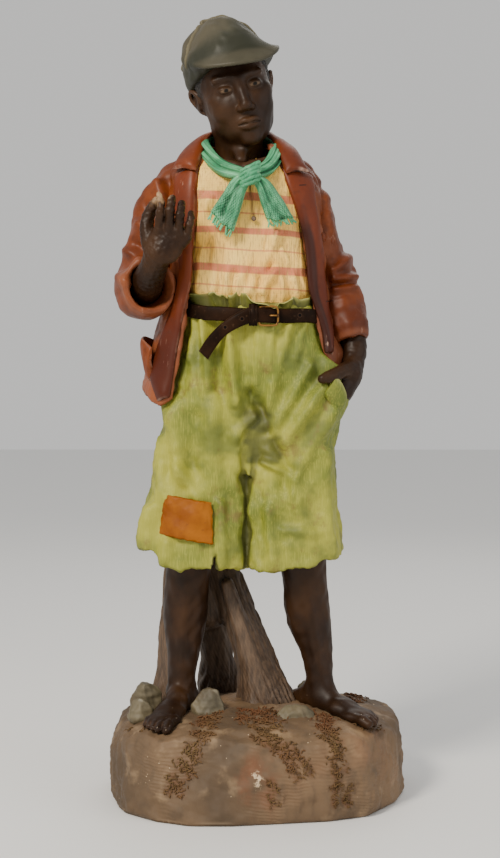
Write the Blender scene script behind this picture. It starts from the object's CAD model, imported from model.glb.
import math
import time

import bpy
import numpy as np
import openvdb
from mathutils import Matrix, Vector


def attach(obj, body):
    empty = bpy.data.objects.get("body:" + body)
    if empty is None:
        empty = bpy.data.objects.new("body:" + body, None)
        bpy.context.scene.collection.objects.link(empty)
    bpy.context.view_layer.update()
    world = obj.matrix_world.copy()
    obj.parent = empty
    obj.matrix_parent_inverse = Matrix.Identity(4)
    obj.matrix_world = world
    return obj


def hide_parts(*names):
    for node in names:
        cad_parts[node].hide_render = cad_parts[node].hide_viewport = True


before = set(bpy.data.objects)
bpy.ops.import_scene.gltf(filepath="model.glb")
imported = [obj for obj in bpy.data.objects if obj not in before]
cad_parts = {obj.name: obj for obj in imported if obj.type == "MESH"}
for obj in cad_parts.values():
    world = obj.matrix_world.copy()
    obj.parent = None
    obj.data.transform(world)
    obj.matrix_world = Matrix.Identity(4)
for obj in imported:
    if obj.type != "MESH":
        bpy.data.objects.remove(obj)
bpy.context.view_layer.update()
startTime = time.time()

# Sizes are in figure units, hundredths of the boy's height: x to the viewer's right, y to the back,
# z up from the ground under his feet.
unit = 0.0077
ground = 0.090


def report(words):
    print(f"{time.time() - startTime:6.1f} s  {words}")


def smoothRows(rows, at):
    # Columns of a table read at many values of its first column, on a smooth curve through the rows
    rows = np.array(rows, float)
    keys = rows[:, 0]
    slopes = np.gradient(rows, keys, axis=0)
    at = np.clip(np.asarray(at, float), keys[0], keys[-1])
    index = np.clip(np.searchsorted(keys, at, side="right") - 1, 0, len(keys) - 2)
    span = (keys[index + 1] - keys[index])[:, None]
    t = ((at - keys[index]) / span[:, 0])[:, None]
    found = (
        (2 * t**3 - 3 * t**2 + 1) * rows[index] + (t**3 - 2 * t**2 + t) * slopes[index] * span
        + (3 * t**2 - 2 * t**3) * rows[index + 1] + (t**3 - t**2) * slopes[index + 1] * span
    )
    return found[:, 1:]


def smoothPath(rows, count):
    # A path of points, each with any further columns, at even steps
    rows = np.array(rows, float)
    gaps = np.linalg.norm(np.diff(rows[:, :3], axis=0), axis=1)
    stations = np.concatenate([[0], np.cumsum(gaps)])
    return smoothRows(np.column_stack([stations, rows]), np.linspace(0, stations[-1], count))


def eased(value, low, high):
    t = np.clip((value - low) / (high - low), 0, 1)
    return t * t * (3 - 2 * t)


def cloud(points, size, seed, count=9):
    # Soft unevenness, about -1 to 1, with hollows and swellings of one size
    rng = np.random.default_rng(seed)
    total = np.zeros(len(points))
    for _ in range(count):
        heading = rng.normal(size=3)
        heading *= 2 * math.pi / size / np.linalg.norm(heading) * rng.uniform(0.6, 1.4)
        total += np.sin(points @ heading + rng.uniform(0, 7))
    return total / math.sqrt(count)


def softMin(a, b, soft):
    if soft <= 0:
        return np.minimum(a, b)
    overlap = np.maximum(soft - np.abs(a - b), 0) / soft
    return np.minimum(a, b) - overlap * overlap * (soft / 4)


class Clay:
    # A block of space in which a form is built up and carved, as distances on a grid, negative inside
    def __init__(self, low, high, step):
        self.low, self.step = np.array(low, float), step
        sizes = np.ceil((np.array(high) - self.low) / step).astype(int) + 1
        self.axes = [(self.low[i] + step * np.arange(sizes[i])).astype(np.float32) for i in range(3)]
        self.field = np.full(sizes, 30.0, np.float32)

    def window(self, low=None, high=None):
        if low is None:
            cut = (slice(None),) * 3
        else:
            first = np.floor((np.array(low) - self.low) / self.step).astype(int)
            last = np.ceil((np.array(high) - self.low) / self.step).astype(int) + 1
            sizes = self.field.shape
            cut = tuple(slice(min(max(a, 0), n), min(max(b, 0), n)) for a, b, n in zip(first, last, sizes))
        x, y, z = (axis[c] for axis, c in zip(self.axes, cut))
        return cut, x[:, None, None], y[None, :, None], z[None, None, :]

    def merge(self, cut, distance, soft=0.0, carve=False):
        if carve:
            self.field[cut] = -softMin(-self.field[cut], distance, soft)
        else:
            self.field[cut] = softMin(self.field[cut], distance, soft)

    def ball(self, centre, radii, turn=None, soft=0.4, carve=False):
        reach = max(radii) + soft + self.step
        cut, x, y, z = self.window(np.subtract(centre, reach), np.add(centre, reach))
        if 0 in self.field[cut].shape:
            return
        p = [x - centre[0], y - centre[1], z - centre[2]]
        if turn is not None:
            p = [turn[0][i] * p[0] + turn[1][i] * p[1] + turn[2][i] * p[2] for i in range(3)]
        near = np.sqrt(sum((q / r) ** 2 for q, r in zip(p, radii)))
        slope = np.sqrt(sum((q / r**2) ** 2 for q, r in zip(p, radii)))
        self.merge(cut, near * (near - 1) / np.maximum(slope, 1e-3), soft, carve)

    def bone(self, start, end, startRadius, endRadius, soft=0.3, carve=False):
        start, end = np.array(start[:3], float), np.array(end[:3], float)
        reach = max(startRadius, endRadius) + soft + self.step
        cut, x, y, z = self.window(np.minimum(start, end) - reach, np.maximum(start, end) + reach)
        if 0 in self.field[cut].shape:
            return
        run = end - start
        p = [x - start[0], y - start[1], z - start[2]]
        t = np.clip((p[0] * run[0] + p[1] * run[1] + p[2] * run[2]) / max(run @ run, 1e-9), 0, 1)
        away = np.sqrt(sum((q - r * t) ** 2 for q, r in zip(p, run)))
        self.merge(cut, away - (startRadius + (endRadius - startRadius) * t), soft, carve)

    def chain(self, rows, soft=0.3, carve=False, count=None):
        # Bones along rows of (x, y, z, radius)
        rows = smoothPath(rows, count) if count else rows
        for a, b in zip(rows, rows[1:]):
            self.bone(a, b, a[3], b[3], soft, carve)

    def points(self):
        # The skin of the form, with its triangles and quads
        for axis in range(3):
            for end in (0, -1):
                edge = [slice(None)] * 3
                edge[axis] = end
                self.field[tuple(edge)] = np.maximum(self.field[tuple(edge)], self.step)
        grid = openvdb.FloatGrid(3.0)
        grid.copyFromArray(np.clip(self.field, -3.0, 3.0))
        found, triangles, quads = grid.convertToPolygons(0.0, 0.0)
        return found * self.step + self.low, triangles, quads

    def sample(self, points):
        at = (points - self.low) / self.step
        limit = np.array(self.field.shape) - 2
        base = np.clip(np.floor(at).astype(int), 0, limit)
        t = np.clip(at - base, 0, 1)
        total = np.zeros(len(points))
        for i in (0, 1):
            for j in (0, 1):
                for k in (0, 1):
                    weight = (
                        (t[:, 0] if i else 1 - t[:, 0]) * (t[:, 1] if j else 1 - t[:, 1])
                        * (t[:, 2] if k else 1 - t[:, 2])
                    )
                    total += weight * self.field[base[:, 0] + i, base[:, 1] + j, base[:, 2] + k]
        return total

    def outward(self, points):
        slope = np.empty_like(points)
        for i in range(3):
            offset = np.zeros(3)
            offset[i] = self.step
            slope[:, i] = self.sample(points + offset) - self.sample(points - offset)
        return slope / np.maximum(np.linalg.norm(slope, axis=1), 1e-6)[:, None]

    def skin(self, reach):
        # Points, faces and normals, with marks for how far each point lies in a hollow or on a rim
        points, triangles, quads = self.points()
        normals = self.outward(points)
        hollow = np.clip(1 - self.sample(points + normals * reach) / reach, 0, 1)
        rim = np.clip(1 + self.sample(points - normals * reach) / reach, 0, 1)
        return points, [*map(tuple, triangles), *map(tuple, quads)], normals, {"hollow": hollow, "rim": rim}

    def piece(self, name, paint, relief=None, place=None, reach=0.9):
        # The finished piece: relief raises points along the skin, place turns them into the figure's space
        points, faces, normals, marks = self.skin(reach)
        if relief is not None:
            points = points + normals * relief(points)[:, None]
        if place is not None:
            points = place(points)
        return makePiece(name, points, faces, paint, marks)


def toMetres(points):
    return np.asarray(points, float) * unit + (0, 0, ground)


def volumeOf(points, faces):
    total = 0.0
    for size in {len(face) for face in faces}:
        rows = np.array([face for face in faces if len(face) == size])
        for i in range(1, size - 1):
            a, b, c = points[rows[:, 0]], points[rows[:, i]], points[rows[:, i + 1]]
            total += np.einsum("ij,ij->i", a, np.cross(b, c)).sum() / 6
    return total


def pointsOf(piece):
    # The points of a finished piece, back in figure units
    return (np.array([v.co[:] for v in piece.data.vertices]) - (0, 0, ground)) / unit


def addMark(mesh, name, values):
    mesh.attributes.new(name, "FLOAT", "POINT").data.foreach_set("value", np.asarray(values, np.float32))


def addPiece(name, data):
    piece = bpy.data.objects.new(name, data)
    bpy.context.scene.collection.objects.link(piece)
    return piece


def makePiece(name, points, faces, paint, marks=None, inMetres=False):
    # A mesh object at the origin, faces outwards, with its marks as attributes of its points
    points = np.asarray(points, float)
    if volumeOf(points - points.mean(axis=0), faces) < 0:
        faces = [face[::-1] for face in faces]
    mesh = bpy.data.meshes.new(name)
    mesh.from_pydata((points if inMetres else toMetres(points)).tolist(), [], faces)
    mesh.polygons.foreach_set("use_smooth", [True] * len(mesh.polygons))
    for mark, values in (marks or {}).items():
        addMark(mesh, mark, values)
    mesh.materials.append(paint)
    mesh.validate()
    return addPiece(name, mesh)


def skinOver(rings, closedRound=False):
    # Points and faces of a skin over rings of equal length, closed at its ends unless it closes round
    rings = np.asarray(rings, float)
    rows, count = rings.shape[:2]
    points = rings.reshape(-1, 3)
    faces = []
    for row in range(rows if closedRound else rows - 1):
        below, above = row * count, (row + 1) % rows * count
        for i in range(count):
            j = (i + 1) % count
            faces.append((below + i, below + j, above + j, above + i))
    if not closedRound:
        points = np.vstack([points, rings[0].mean(axis=0), rings[-1].mean(axis=0)])
        for i in range(count):
            j = (i + 1) % count
            faces.append((j, i, rows * count))
            faces.append(((rows - 1) * count + i, (rows - 1) * count + j, rows * count + 1))
    return points, faces


def joined(parts):
    # Several skins as one, each with its marks; a mark that a skin lacks is 0 there
    names = sorted({name for part in parts for name in (part[2] if len(part) > 2 else {})})
    points, faces, marks, start = [], [], {name: [] for name in names}, 0
    for part in parts:
        points.append(part[0])
        faces += [tuple(i + start for i in face) for face in part[1]]
        for name in names:
            found = part[2].get(name) if len(part) > 2 else None
            marks[name].append(np.zeros(len(part[0])) if found is None else found)
        start += len(part[0])
    return np.vstack(points), faces, {name: np.concatenate(rows) for name, rows in marks.items()}


# The body's middle seen from above
bodyMiddle = (-1.4, 0.6)


def ribbon(firstEdge, secondEdge, thickness, along, across, bow=0.0, relief=None, facing=0.0):
    # A band of cloth or leather between two edge curves, its outer face away from the body's middle.
    # relief(u, v) raises the outer face, u from first to second edge and v along, both 0 to 1.
    first, second = smoothPath(firstEdge, along), smoothPath(secondEdge, along)
    centres, halves = (first + second) / 2, (second - first) / 2
    tangents = np.gradient(centres, axis=0)
    share = (1 - np.cos(np.linspace(0, math.pi, across))) / 2
    share = np.concatenate([share, share[::-1][1:-1]])
    side = np.concatenate([np.ones(across), -np.ones(across - 2)])
    edge = np.abs(2 * share - 1)
    body = np.sqrt(np.maximum(1 - edge**5, 0))
    rings = []
    for row, (centre, half, tangent) in enumerate(zip(centres, halves, tangents)):
        normal = np.cross(tangent, half)
        normal /= np.linalg.norm(normal)
        if normal @ (centre - (*bodyMiddle, centre[2])) < 0:
            normal = -normal
        v = row / (along - 1)
        end = math.sqrt(max(0.0, 1 - abs(2 * v - 1) ** 40))
        height = side * body * thickness / 2 * max(end, 0.25) + bow * (1 - edge**2)
        if relief is not None:
            height = height + np.where(side > 0, relief(share, v), 0) * body
        rings.append(centre + half * (2 * share - 1)[:, None] + normal * height[:, None])
    points, faces = skinOver(rings)
    v = np.concatenate([np.repeat(np.linspace(0, 1, along), len(share)), (0.0, 1.0)])
    u = np.concatenate([np.tile(share, along), (0.5, 0.5)])
    worn = np.maximum(np.abs(2 * u - 1) ** 14, np.abs(2 * v - 1) ** 60)
    return points, faces, {"across": u, "along": v, "edgeWear": worn, "facing": np.full(len(u), facing)}


def tubeAlong(path, radius, sides, closedRound=False):
    # A round wire along a path
    path = np.asarray(path, float)
    ahead = np.roll(path, -1, 0) - np.roll(path, 1, 0) if closedRound else np.gradient(path, axis=0)
    ahead /= np.linalg.norm(ahead, axis=1)[:, None]
    side = np.cross(ahead[0], (0.1, 0.2, 1.0))
    turn = np.linspace(0, 2 * math.pi, sides, endpoint=False)[:, None]
    rings = []
    for centre, tangent in zip(path, ahead):
        side = side - tangent * (side @ tangent)
        side /= np.linalg.norm(side)
        over = np.cross(tangent, side)
        rings.append(centre + radius * (np.cos(turn) * side + np.sin(turn) * over))
    return skinOver(rings, closedRound)


class Signal:
    # A socket that can be used in sums
    def __init__(self, paint, socket):
        self.paint, self.socket = paint, socket

    def sum(self, operation, *others):
        return self.paint.node("ShaderNodeMath", {"operation": operation}, dict(enumerate((self, *others))))

    def __add__(self, other):
        return self.sum("ADD", other)

    def __radd__(self, other):
        return self.sum("ADD", other)

    def __sub__(self, other):
        return self.sum("SUBTRACT", other)

    def __rsub__(self, other):
        return self.paint.node("ShaderNodeMath", {"operation": "SUBTRACT"}, {0: other, 1: self})

    def __mul__(self, other):
        return self.sum("MULTIPLY", other)

    def __rmul__(self, other):
        return self.sum("MULTIPLY", other)

    def __pow__(self, other):
        return self.sum("POWER", other)

    def sine(self):
        return self.sum("SINE")

    def top(self, other):
        return self.sum("MAXIMUM", other)

    def size(self):
        return self.sum("ABSOLUTE")

    def between(self, start, end):
        # 0 below start, 1 above end, eased; turned round where start is above end
        return self.paint.node(
            "ShaderNodeMapRange", {"interpolation_type": "SMOOTHSTEP"},
            {"Value": self, "From Min": start, "From Max": end},
        )


class Paint:
    # A material being mixed
    def __init__(self, name):
        self.material = bpy.data.materials.new(name)
        self.material.use_nodes = True
        self.tree = self.material.node_tree
        self.shader = self.tree.nodes["Principled BSDF"]
        self.place = self.node("ShaderNodeTexCoord", {}, {}, "Object")
        parts = self.node("ShaderNodeSeparateXYZ", {}, {0: self.place}, None)
        self.x, self.y, self.z = (Signal(self, parts.outputs[i]) for i in range(3))

    def node(self, kind, settings, feeds, output=0):
        made = self.tree.nodes.new(kind)
        for key, value in settings.items():
            setattr(made, key, value)
        for key, value in feeds.items():
            if isinstance(value, Signal):
                self.tree.links.new(value.socket, made.inputs[key])
            else:
                made.inputs[key].default_value = value
        return made if output is None else Signal(self, made.outputs[output])

    def noise(self, scale, detail=3.0, stretch=(1, 1, 1), rough=0.5):
        where = self.place
        if stretch != (1, 1, 1):
            where = self.node("ShaderNodeMapping", {}, {"Vector": self.place, "Scale": stretch})
        return self.node(
            "ShaderNodeTexNoise", {},
            {"Vector": where, "Scale": scale, "Detail": detail, "Roughness": rough}
        )

    def cells(self, scale, stretch=(1, 1, 1), feature="F1"):
        where = self.node("ShaderNodeMapping", {}, {"Vector": self.place, "Scale": stretch})
        return self.node(
            "ShaderNodeTexVoronoi", {"feature": feature}, {"Vector": where, "Scale": scale}, "Distance"
        )

    def mark(self, name):
        return self.node("ShaderNodeAttribute", {"attribute_name": name}, {}, "Fac")

    def mix(self, share, first, second):
        feeds = {0: share, 6: first, 7: second}
        for key in (6, 7):
            if isinstance(feeds[key], tuple) and len(feeds[key]) == 3:
                feeds[key] = (*feeds[key], 1)
        return self.node("ShaderNodeMix", {"data_type": "RGBA"}, feeds, 2)

    def over(self, colour, *layers):
        # Each layer, a share and a shade, laid over those before it
        for share, shade in layers:
            colour = self.mix(share, colour, shade)
        return colour

    def bump(self, height, distance, strength=1.0, under=None):
        feeds = {"Height": height, "Distance": distance, "Strength": strength}
        if under is not None:
            feeds["Normal"] = under
        return self.node("ShaderNodeBump", {}, feeds)

    def finish(self, colour, roughness, normal=None, specular=None, metallic=None):
        feeds = {"Base Color": colour, "Roughness": roughness, "Normal": normal}
        feeds.update({"Specular IOR Level": specular, "Metallic": metallic})
        for key, value in feeds.items():
            if isinstance(value, Signal):
                self.tree.links.new(value.socket, self.shader.inputs[key])
            elif value is not None:
                self.shader.inputs[key].default_value = (*value, 1) if isinstance(value, tuple) else value
        return self.material


def paintSkin():
    p = Paint("darkSkin")
    patches, fine = p.noise(26, 4), p.noise(260, 3)
    colour = p.mix(patches.between(0.35, 0.7), (0.015, 0.0055, 0.0015), (0.04, 0.016, 0.0045))
    colour = p.over(
        colour,
        (p.mark("rim").between(0.25, 0.8) * 0.4, (0.1, 0.05, 0.026)),
        (p.mark("worn"), p.mix(fine, (0.25, 0.14, 0.065), (0.5, 0.33, 0.18))),
        (p.mark("hollow").between(0.25, 0.7) * 0.75, (0.008, 0.0035, 0.0015)),
        (p.mark("eye") * 0.7, (0.15, 0.095, 0.055)),
        (p.mark("iris") * p.mark("eye"), (0.004, 0.002, 0.001)),
    )
    specks = p.cells(260).between(0.12, 0.06) * p.z.between(0.125, 0.1) * p.noise(60, 2).between(0.5, 0.6)
    colour = p.mix(specks, colour, (0.6, 0.5, 0.38))
    shine = 0.34 + patches * 0.16 + fine * 0.1
    return p.finish(colour, shine, p.bump(fine, 0.00025, 0.35, p.bump(patches, 0.001, 0.2)), specular=0.22)


def paintHair():
    p = Paint("croppedHair")
    curls = p.cells(330)
    colour = p.mix(curls.between(0.2, 0.7), (0.02, 0.013, 0.01), (0.006, 0.004, 0.003))
    return p.finish(colour, 0.6, p.bump(1 - curls, 0.0012, 0.8))


def paintCap():
    p = Paint("capCloth")
    wear, fine, broad = p.noise(18, 5), p.noise(420, 2), p.noise(9, 3)
    colour = p.mix(wear.between(0.35, 0.7), (0.02, 0.021, 0.012), (0.05, 0.048, 0.031))
    colour = p.over(
        colour,
        (broad.between(0.45, 0.65) * 0.4, (0.09, 0.072, 0.043)),
        (p.mark("seam") * 0.55, (0.2, 0.17, 0.1)),
        (p.mark("rim").between(0.5, 0.9) * 0.12, (0.2, 0.16, 0.1)),
        (p.mark("hollow").between(0.15, 0.6) * 0.75, (0.012, 0.012, 0.007)),
    )
    return p.finish(
        colour, 0.4 + wear * 0.2, p.bump(fine, 0.0002, 0.4, p.bump(wear, 0.0015, 0.3)), specular=0.25
    )


# Buttonholes as seen from the front, each with its x, z and half its length, in metres
buttonSlits = ((0.0485, 0.6725, 0.0042), (0.0785, 0.5485, 0.0045))


def paintJacket():
    p = Paint("jacketCloth")
    broad, fine, grain = p.noise(14, 5), p.noise(90, 4), p.noise(500, 2)
    colour = p.mix(broad.between(0.3, 0.7), (0.082, 0.0155, 0.003), (0.21, 0.046, 0.0075))
    colour = p.mix(p.mark("facing") * 0.75, colour, p.mix(fine, (0.1, 0.013, 0.004), (0.19, 0.032, 0.007)))
    across, lapel = p.mark("across"), p.mark("facing")
    colour = p.mix(lapel.between(0.3, 0.7) * p.z.between(0.6, 0.48) * 0.8, colour, (0.04, 0.006, 0.002))
    inside = across.between(0.4, 0.22) * lapel.between(0.6, 0.75)
    inside = inside * p.x.between(0.005, 0.02) * p.z.between(0.655, 0.62)
    colour = p.over(
        colour,
        (inside * 0.9, (0.028, 0.006, 0.003)),
        (fine.between(0.5, 0.75) * 0.5, (0.05, 0.012, 0.006)),
        (p.mark("hollow").between(0.12, 0.6) * 0.85, (0.02, 0.006, 0.003)),
        (p.mark("rim").between(0.3, 0.8) * 0.3, (0.36, 0.13, 0.065)),
    )
    cracks = p.cells(120, (1, 1, 0.45), "DISTANCE_TO_EDGE")
    scratches = p.noise(60, 5, (6, 6, 0.6), 0.7).between(0.62, 0.7) * p.noise(12, 2).between(0.5, 0.62)
    crazed = p.x.between(0.03, 0.05) * cracks.between(0.03, 0.008) * p.noise(16, 2).between(0.48, 0.62)
    outerEdge = across.between(0.4, 0.7).top(p.x.between(0.0, -0.02) * 0.35)
    edges = p.mark("edgeWear").between(0.25, 0.8) * outerEdge * p.noise(70, 4).between(0.42, 0.6)
    edges = edges * (0.35 + p.x.between(0.02, 0.05) * 0.6)
    scuffs = scratches * (0.45 + p.x.between(0.0, 0.05) * 0.4)
    colour = p.mix(scuffs.top(crazed * 0.3).top(edges), colour, (0.55, 0.34, 0.25))
    slits = None
    for x, z, reach in buttonSlits:
        run = (p.x - x).size().between(reach, reach - 0.001)
        slit = run * (p.z - z - (p.x - x) * 0.12).size().between(0.0008, 0.0004)
        slits = slit if slits is None else slits.top(slit)
    colour = p.mix(slits * p.y.between(0.0, -0.01), colour, (0.02, 0.006, 0.004))
    shine = 0.33 + fine * 0.25
    return p.finish(colour, shine, p.bump(grain, 0.0002, 0.3, p.bump(fine, 0.0006, 0.3)), specular=0.24)


# Heights of the shirt's stripes in metres, the wide ones each with half its width
wideStripes = ((0.6585, 0.0044), (0.6215, 0.0033), (0.581, 0.0042))
thinStripes = (0.6405, 0.602, 0.562)


def paintShirt():
    p = Paint("stripedShirt")
    crinkle = p.noise(60, 4, (9, 9, 1.2))
    dirt = p.noise(22, 5)
    level = p.z + (p.noise(18, 2) - 0.5) * 0.005 + p.x * 0.06
    stripes = None
    for height, half in wideStripes:
        stripe = (level - height).size().between(half + 0.0009, half - 0.0007)
        stripes = stripe if stripes is None else stripes.top(stripe)
    for height in thinStripes:
        stripes = stripes.top((level - height).size().between(0.0013, 0.0004) * 0.8)
    ribs = ((p.x + (p.noise(30, 2) - 0.5) * 0.004) * 2300).sine()
    weave = (p.z * 2600).sine() * 0.5 + ribs * 0.5
    colour = p.mix(dirt.between(0.3, 0.75), (1.0, 0.66, 0.16), (0.94, 0.53, 0.09))
    colour = p.over(
        colour,
        (stripes * crinkle.between(0.22, 0.42) * 0.92, p.mix(dirt, (0.66, 0.17, 0.09), (0.5, 0.12, 0.06))),
        (ribs.between(0.3, 1.0) * 0.16, (0.5, 0.28, 0.1)),
        (crinkle.between(0.52, 0.34) * 0.5, (0.34, 0.18, 0.06)),
        (p.mark("slit") * 0.8, (0.2, 0.1, 0.04)),
        (p.mark("hollow").between(0.15, 0.6) * 0.8, (0.14, 0.065, 0.025)),
    )
    return p.finish(colour, 0.6 + dirt * 0.15, p.bump(weave, 0.0002, 0.5, p.bump(crinkle, 0.0012, 0.7)))


def paintScarf():
    p = Paint("greenScarf")
    broad, fine = p.noise(40, 4), p.noise(200, 3)
    colour = p.mix(broad.between(0.3, 0.7), (0.04, 0.27, 0.12), (0.14, 0.5, 0.24))
    colour = p.mix(fine.between(0.58, 0.8) * 0.5, colour, (0.42, 0.68, 0.4))
    u, v = p.mark("across"), p.mark("along")
    lines = (u * 34 + v * 3 + broad * 3).sine() * 0.5 + 0.5
    knit = ((u * 70).sine() * (v * 150).sine()) * v.between(0.62, 0.72)
    colour = p.over(
        colour,
        (lines.between(0.35, 0.05) * 0.5, (0.02, 0.13, 0.05)),
        (knit.between(-0.1, -0.6) * 0.75, (0.03, 0.15, 0.08)),
        (p.mark("hollow").between(0.1, 0.7) * 0.8, (0.01, 0.085, 0.035)),
    )
    height = lines * 0.6 + knit * 0.6
    return p.finish(colour, 0.42 + fine * 0.2, p.bump(fine, 0.0005, 0.4, p.bump(height, 0.0009, 0.8)))


def paintTrousers(name="greenTrousers", depth=1.0):
    p = Paint(name)
    dark, light, pale = (tuple(depth * part for part in shade) for shade in (
        (0.12, 0.155, 0.01), (0.34, 0.335, 0.034), (0.48, 0.46, 0.07),
    ))
    broad, blotch, fine = p.noise(9, 5), p.noise(24, 5), p.noise(120, 4)
    combed = p.noise(70, 3, (12, 12, 0.7))
    colour = p.mix(broad.between(0.38, 0.62), dark, light)
    colour = p.over(
        colour,
        (combed.between(0.45, 0.7) * 0.35, pale),
        (blotch.between(0.48, 0.68) * 0.75, (0.095, 0.12, 0.012)),
        (p.noise(30, 5, rough=0.7).between(0.56, 0.7) * 0.6, (0.17, 0.1, 0.025)),
        (p.mark("hollow").between(0.08, 0.5) * 0.85, (0.05, 0.052, 0.006)),
        (p.mark("grime"), (0.034, 0.042, 0.006)),
        (p.mark("crest") * 0.6, (0.62, 0.6, 0.2)),
    )
    return p.finish(colour, 0.5 + fine * 0.2, p.bump(combed, 0.0007, 0.5, p.bump(fine, 0.0008, 0.35)))


def paintPatch():
    p = Paint("orangePatch")
    broad, fine = p.noise(30, 5), p.noise(220, 3)
    colour = p.mix(broad.between(0.3, 0.7), (0.19, 0.046, 0.001), (0.36, 0.112, 0.003))
    colour = p.mix(fine.between(0.6, 0.75) * 0.4, colour, (0.14, 0.04, 0.01))
    return p.finish(colour, 0.5 + fine * 0.15, p.bump(fine, 0.0005, 0.5), specular=0.2)


# The belt's holes as seen from the front, x and z in metres
beltHoles = ((-0.0165, 0.5285), (-0.0345, 0.5195), (0.0455, 0.5325))


def paintBelt():
    p = Paint("beltLeather")
    broad, fine = p.noise(40, 4), p.noise(300, 3)
    colour = p.mix(broad.between(0.3, 0.7), (0.006, 0.0028, 0.0012), (0.022, 0.009, 0.004))
    colour = p.over(
        colour,
        (fine.between(0.62, 0.75) * 0.35, (0.12, 0.065, 0.035)),
        (p.mark("edgeWear").between(0.3, 0.9) * 0.35, (0.12, 0.07, 0.045)),
    )
    for x, z in beltHoles:
        away = ((p.x - x) ** 2.0 + (p.z - z) ** 2.0) ** 0.5
        colour = p.mix(away.between(0.0019, 0.0014) * p.y.between(0.0, -0.01), colour, (0.002, 0.001, 0.001))
        colour = p.mix((away - 0.0021).size().between(0.0004, 0.0001) * 0.3, colour, (0.14, 0.08, 0.05))
    return p.finish(colour, 0.4 + broad * 0.15, p.bump(fine, 0.0004, 0.5), specular=0.06)


def paintBrass():
    p = Paint("buckleBrass")
    fine = p.noise(160, 4)
    colour = p.mix(fine.between(0.45, 0.65), (0.26, 0.12, 0.022), (0.05, 0.022, 0.009))
    return p.finish(colour, 0.35 + fine * 0.2, p.bump(fine, 0.0003, 0.4), metallic=0.6)


def paintWood():
    p = Paint("stumpWood")
    grain, broad, fine = p.noise(60, 5, (5, 5, 0.8)), p.noise(12, 4), p.noise(300, 3)
    combed = ((p.x + p.z * 0.42 + p.noise(16, 3) * 0.012) * 1700).sine()
    colour = p.mix(grain.between(0.3, 0.7), (0.048, 0.027, 0.014), (0.112, 0.066, 0.036))
    colour = p.over(
        colour,
        (broad.between(0.45, 0.7) * 0.4, (0.2, 0.13, 0.08)),
        (combed.between(0.3, -0.8) * 0.14, (0.04, 0.022, 0.012)),
        (p.mark("rim").between(0.2, 0.7) * 0.45, (0.28, 0.19, 0.12)),
        (p.mark("hollow").between(0.15, 0.65) * 0.85, (0.015, 0.009, 0.005)),
    )
    return p.finish(
        colour, 0.62, p.bump(fine, 0.0003, 0.4, p.bump(combed, 0.0003, 0.35, p.bump(grain, 0.0007, 0.4)))
    )


# The bare patch on the mound's front, its x and z in metres
chippedAt = (0.002, 0.047)


def paintMound():
    p = Paint("moundClay")
    broad, mid, fine = p.noise(8, 5), p.noise(34, 5), p.noise(240, 3)
    combed = (p.z * 1500 + p.noise(10, 3) * 60).sine() * p.noise(14, 2).between(0.45, 0.6)
    colour = p.mix(broad.between(0.3, 0.7), (0.066, 0.04, 0.019), (0.175, 0.105, 0.052))
    colour = p.over(
        colour,
        (mid.between(0.54, 0.72) * 0.55, (0.33, 0.22, 0.12)),
        (p.noise(7, 4).between(0.58, 0.7) * 0.4, (0.24, 0.095, 0.035)),
        (mid.between(0.45, 0.3) * 0.5, (0.055, 0.035, 0.018)),
        (p.mark("tuft").between(0.1, 0.7) * 0.55, p.mix(mid, (0.17, 0.062, 0.02), (0.08, 0.042, 0.016))),
        (p.mark("hollow").between(0.1, 0.6) * 0.7, (0.03, 0.018, 0.009)),
        (p.mark("rim").between(0.35, 0.8) * 0.45, (0.4, 0.29, 0.18)),
    )
    chips = p.cells(210).between(0.16, 0.08) * p.noise(40, 3).between(0.62, 0.68)
    across, up, front = p.x - chippedAt[0], p.z - chippedAt[1], p.y.between(-0.05, -0.08)
    ragged = (across * across + up * up * 0.5) ** 0.5 + (p.noise(90, 5, rough=0.7) - 0.5) * 0.03
    bare = ragged.between(0.009, 0.004) * front
    colour = p.over(
        colour,
        (ragged.between(0.028, 0.012) * front * mid.between(0.35, 0.6) * 0.8, (0.15, 0.055, 0.02)),
        (chips.top(bare * p.noise(260, 3).between(0.42, 0.5)), (0.62, 0.47, 0.3)),
    )
    return p.finish(
        colour, 0.68, p.bump(combed, 0.0003, 0.5, p.bump(fine, 0.0005, 0.4, p.bump(mid, 0.003, 0.45)))
    )


def paintStone():
    p = Paint("greyStone")
    broad, fine = p.noise(40, 5), p.noise(260, 3)
    colour = p.mix(broad.between(0.3, 0.7), (0.06, 0.048, 0.025), (0.145, 0.118, 0.066))
    colour = p.over(
        colour,
        (p.noise(22, 4).between(0.5, 0.7) * 0.5, (0.11, 0.07, 0.035)),
        (p.mark("rim").between(0.3, 0.8) * 0.4, (0.42, 0.38, 0.28)),
        (p.mark("hollow").between(0.1, 0.6) * 0.7, (0.04, 0.028, 0.015)),
    )
    return p.finish(colour, 0.6, p.bump(fine, 0.0004, 0.4, p.bump(broad, 0.003, 0.5)))


def paintGrass():
    p = Paint("dryGrass")
    broad, mid = p.noise(14, 3), p.noise(90, 4)
    colour = p.mix(broad.between(0.3, 0.7), (0.13, 0.05, 0.02), (0.14, 0.088, 0.036))
    colour = p.mix(mid.between(0.45, 0.65) * 0.6, colour, (0.07, 0.038, 0.016))
    return p.finish(colour, 0.65, p.bump(mid, 0.0004, 0.4), specular=0.2)


def foldRise(folds, angle, height, girth):
    # Height of folds that run from one (angle, height) to another, each with a width and a rise
    total = np.zeros(np.broadcast(angle, height).shape)
    for startAngle, start, endAngle, end, width, rise in folds:
        dx = (np.mod(angle - startAngle + 180, 360) - 180) * (math.pi / 180) * girth
        dz = height - start
        runX, runZ = math.radians(endAngle - startAngle) * girth, end - start
        t = np.clip((dx * runX + dz * runZ) / (runX**2 + runZ**2), 0, 1)
        away = np.hypot(dx - t * runX, dz - t * runZ)
        total += rise * (
            np.exp(-((away / width) ** 2)) - 0.28 * np.exp(-(((away - 2.1 * width) / width) ** 2))
        )
    return total


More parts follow.
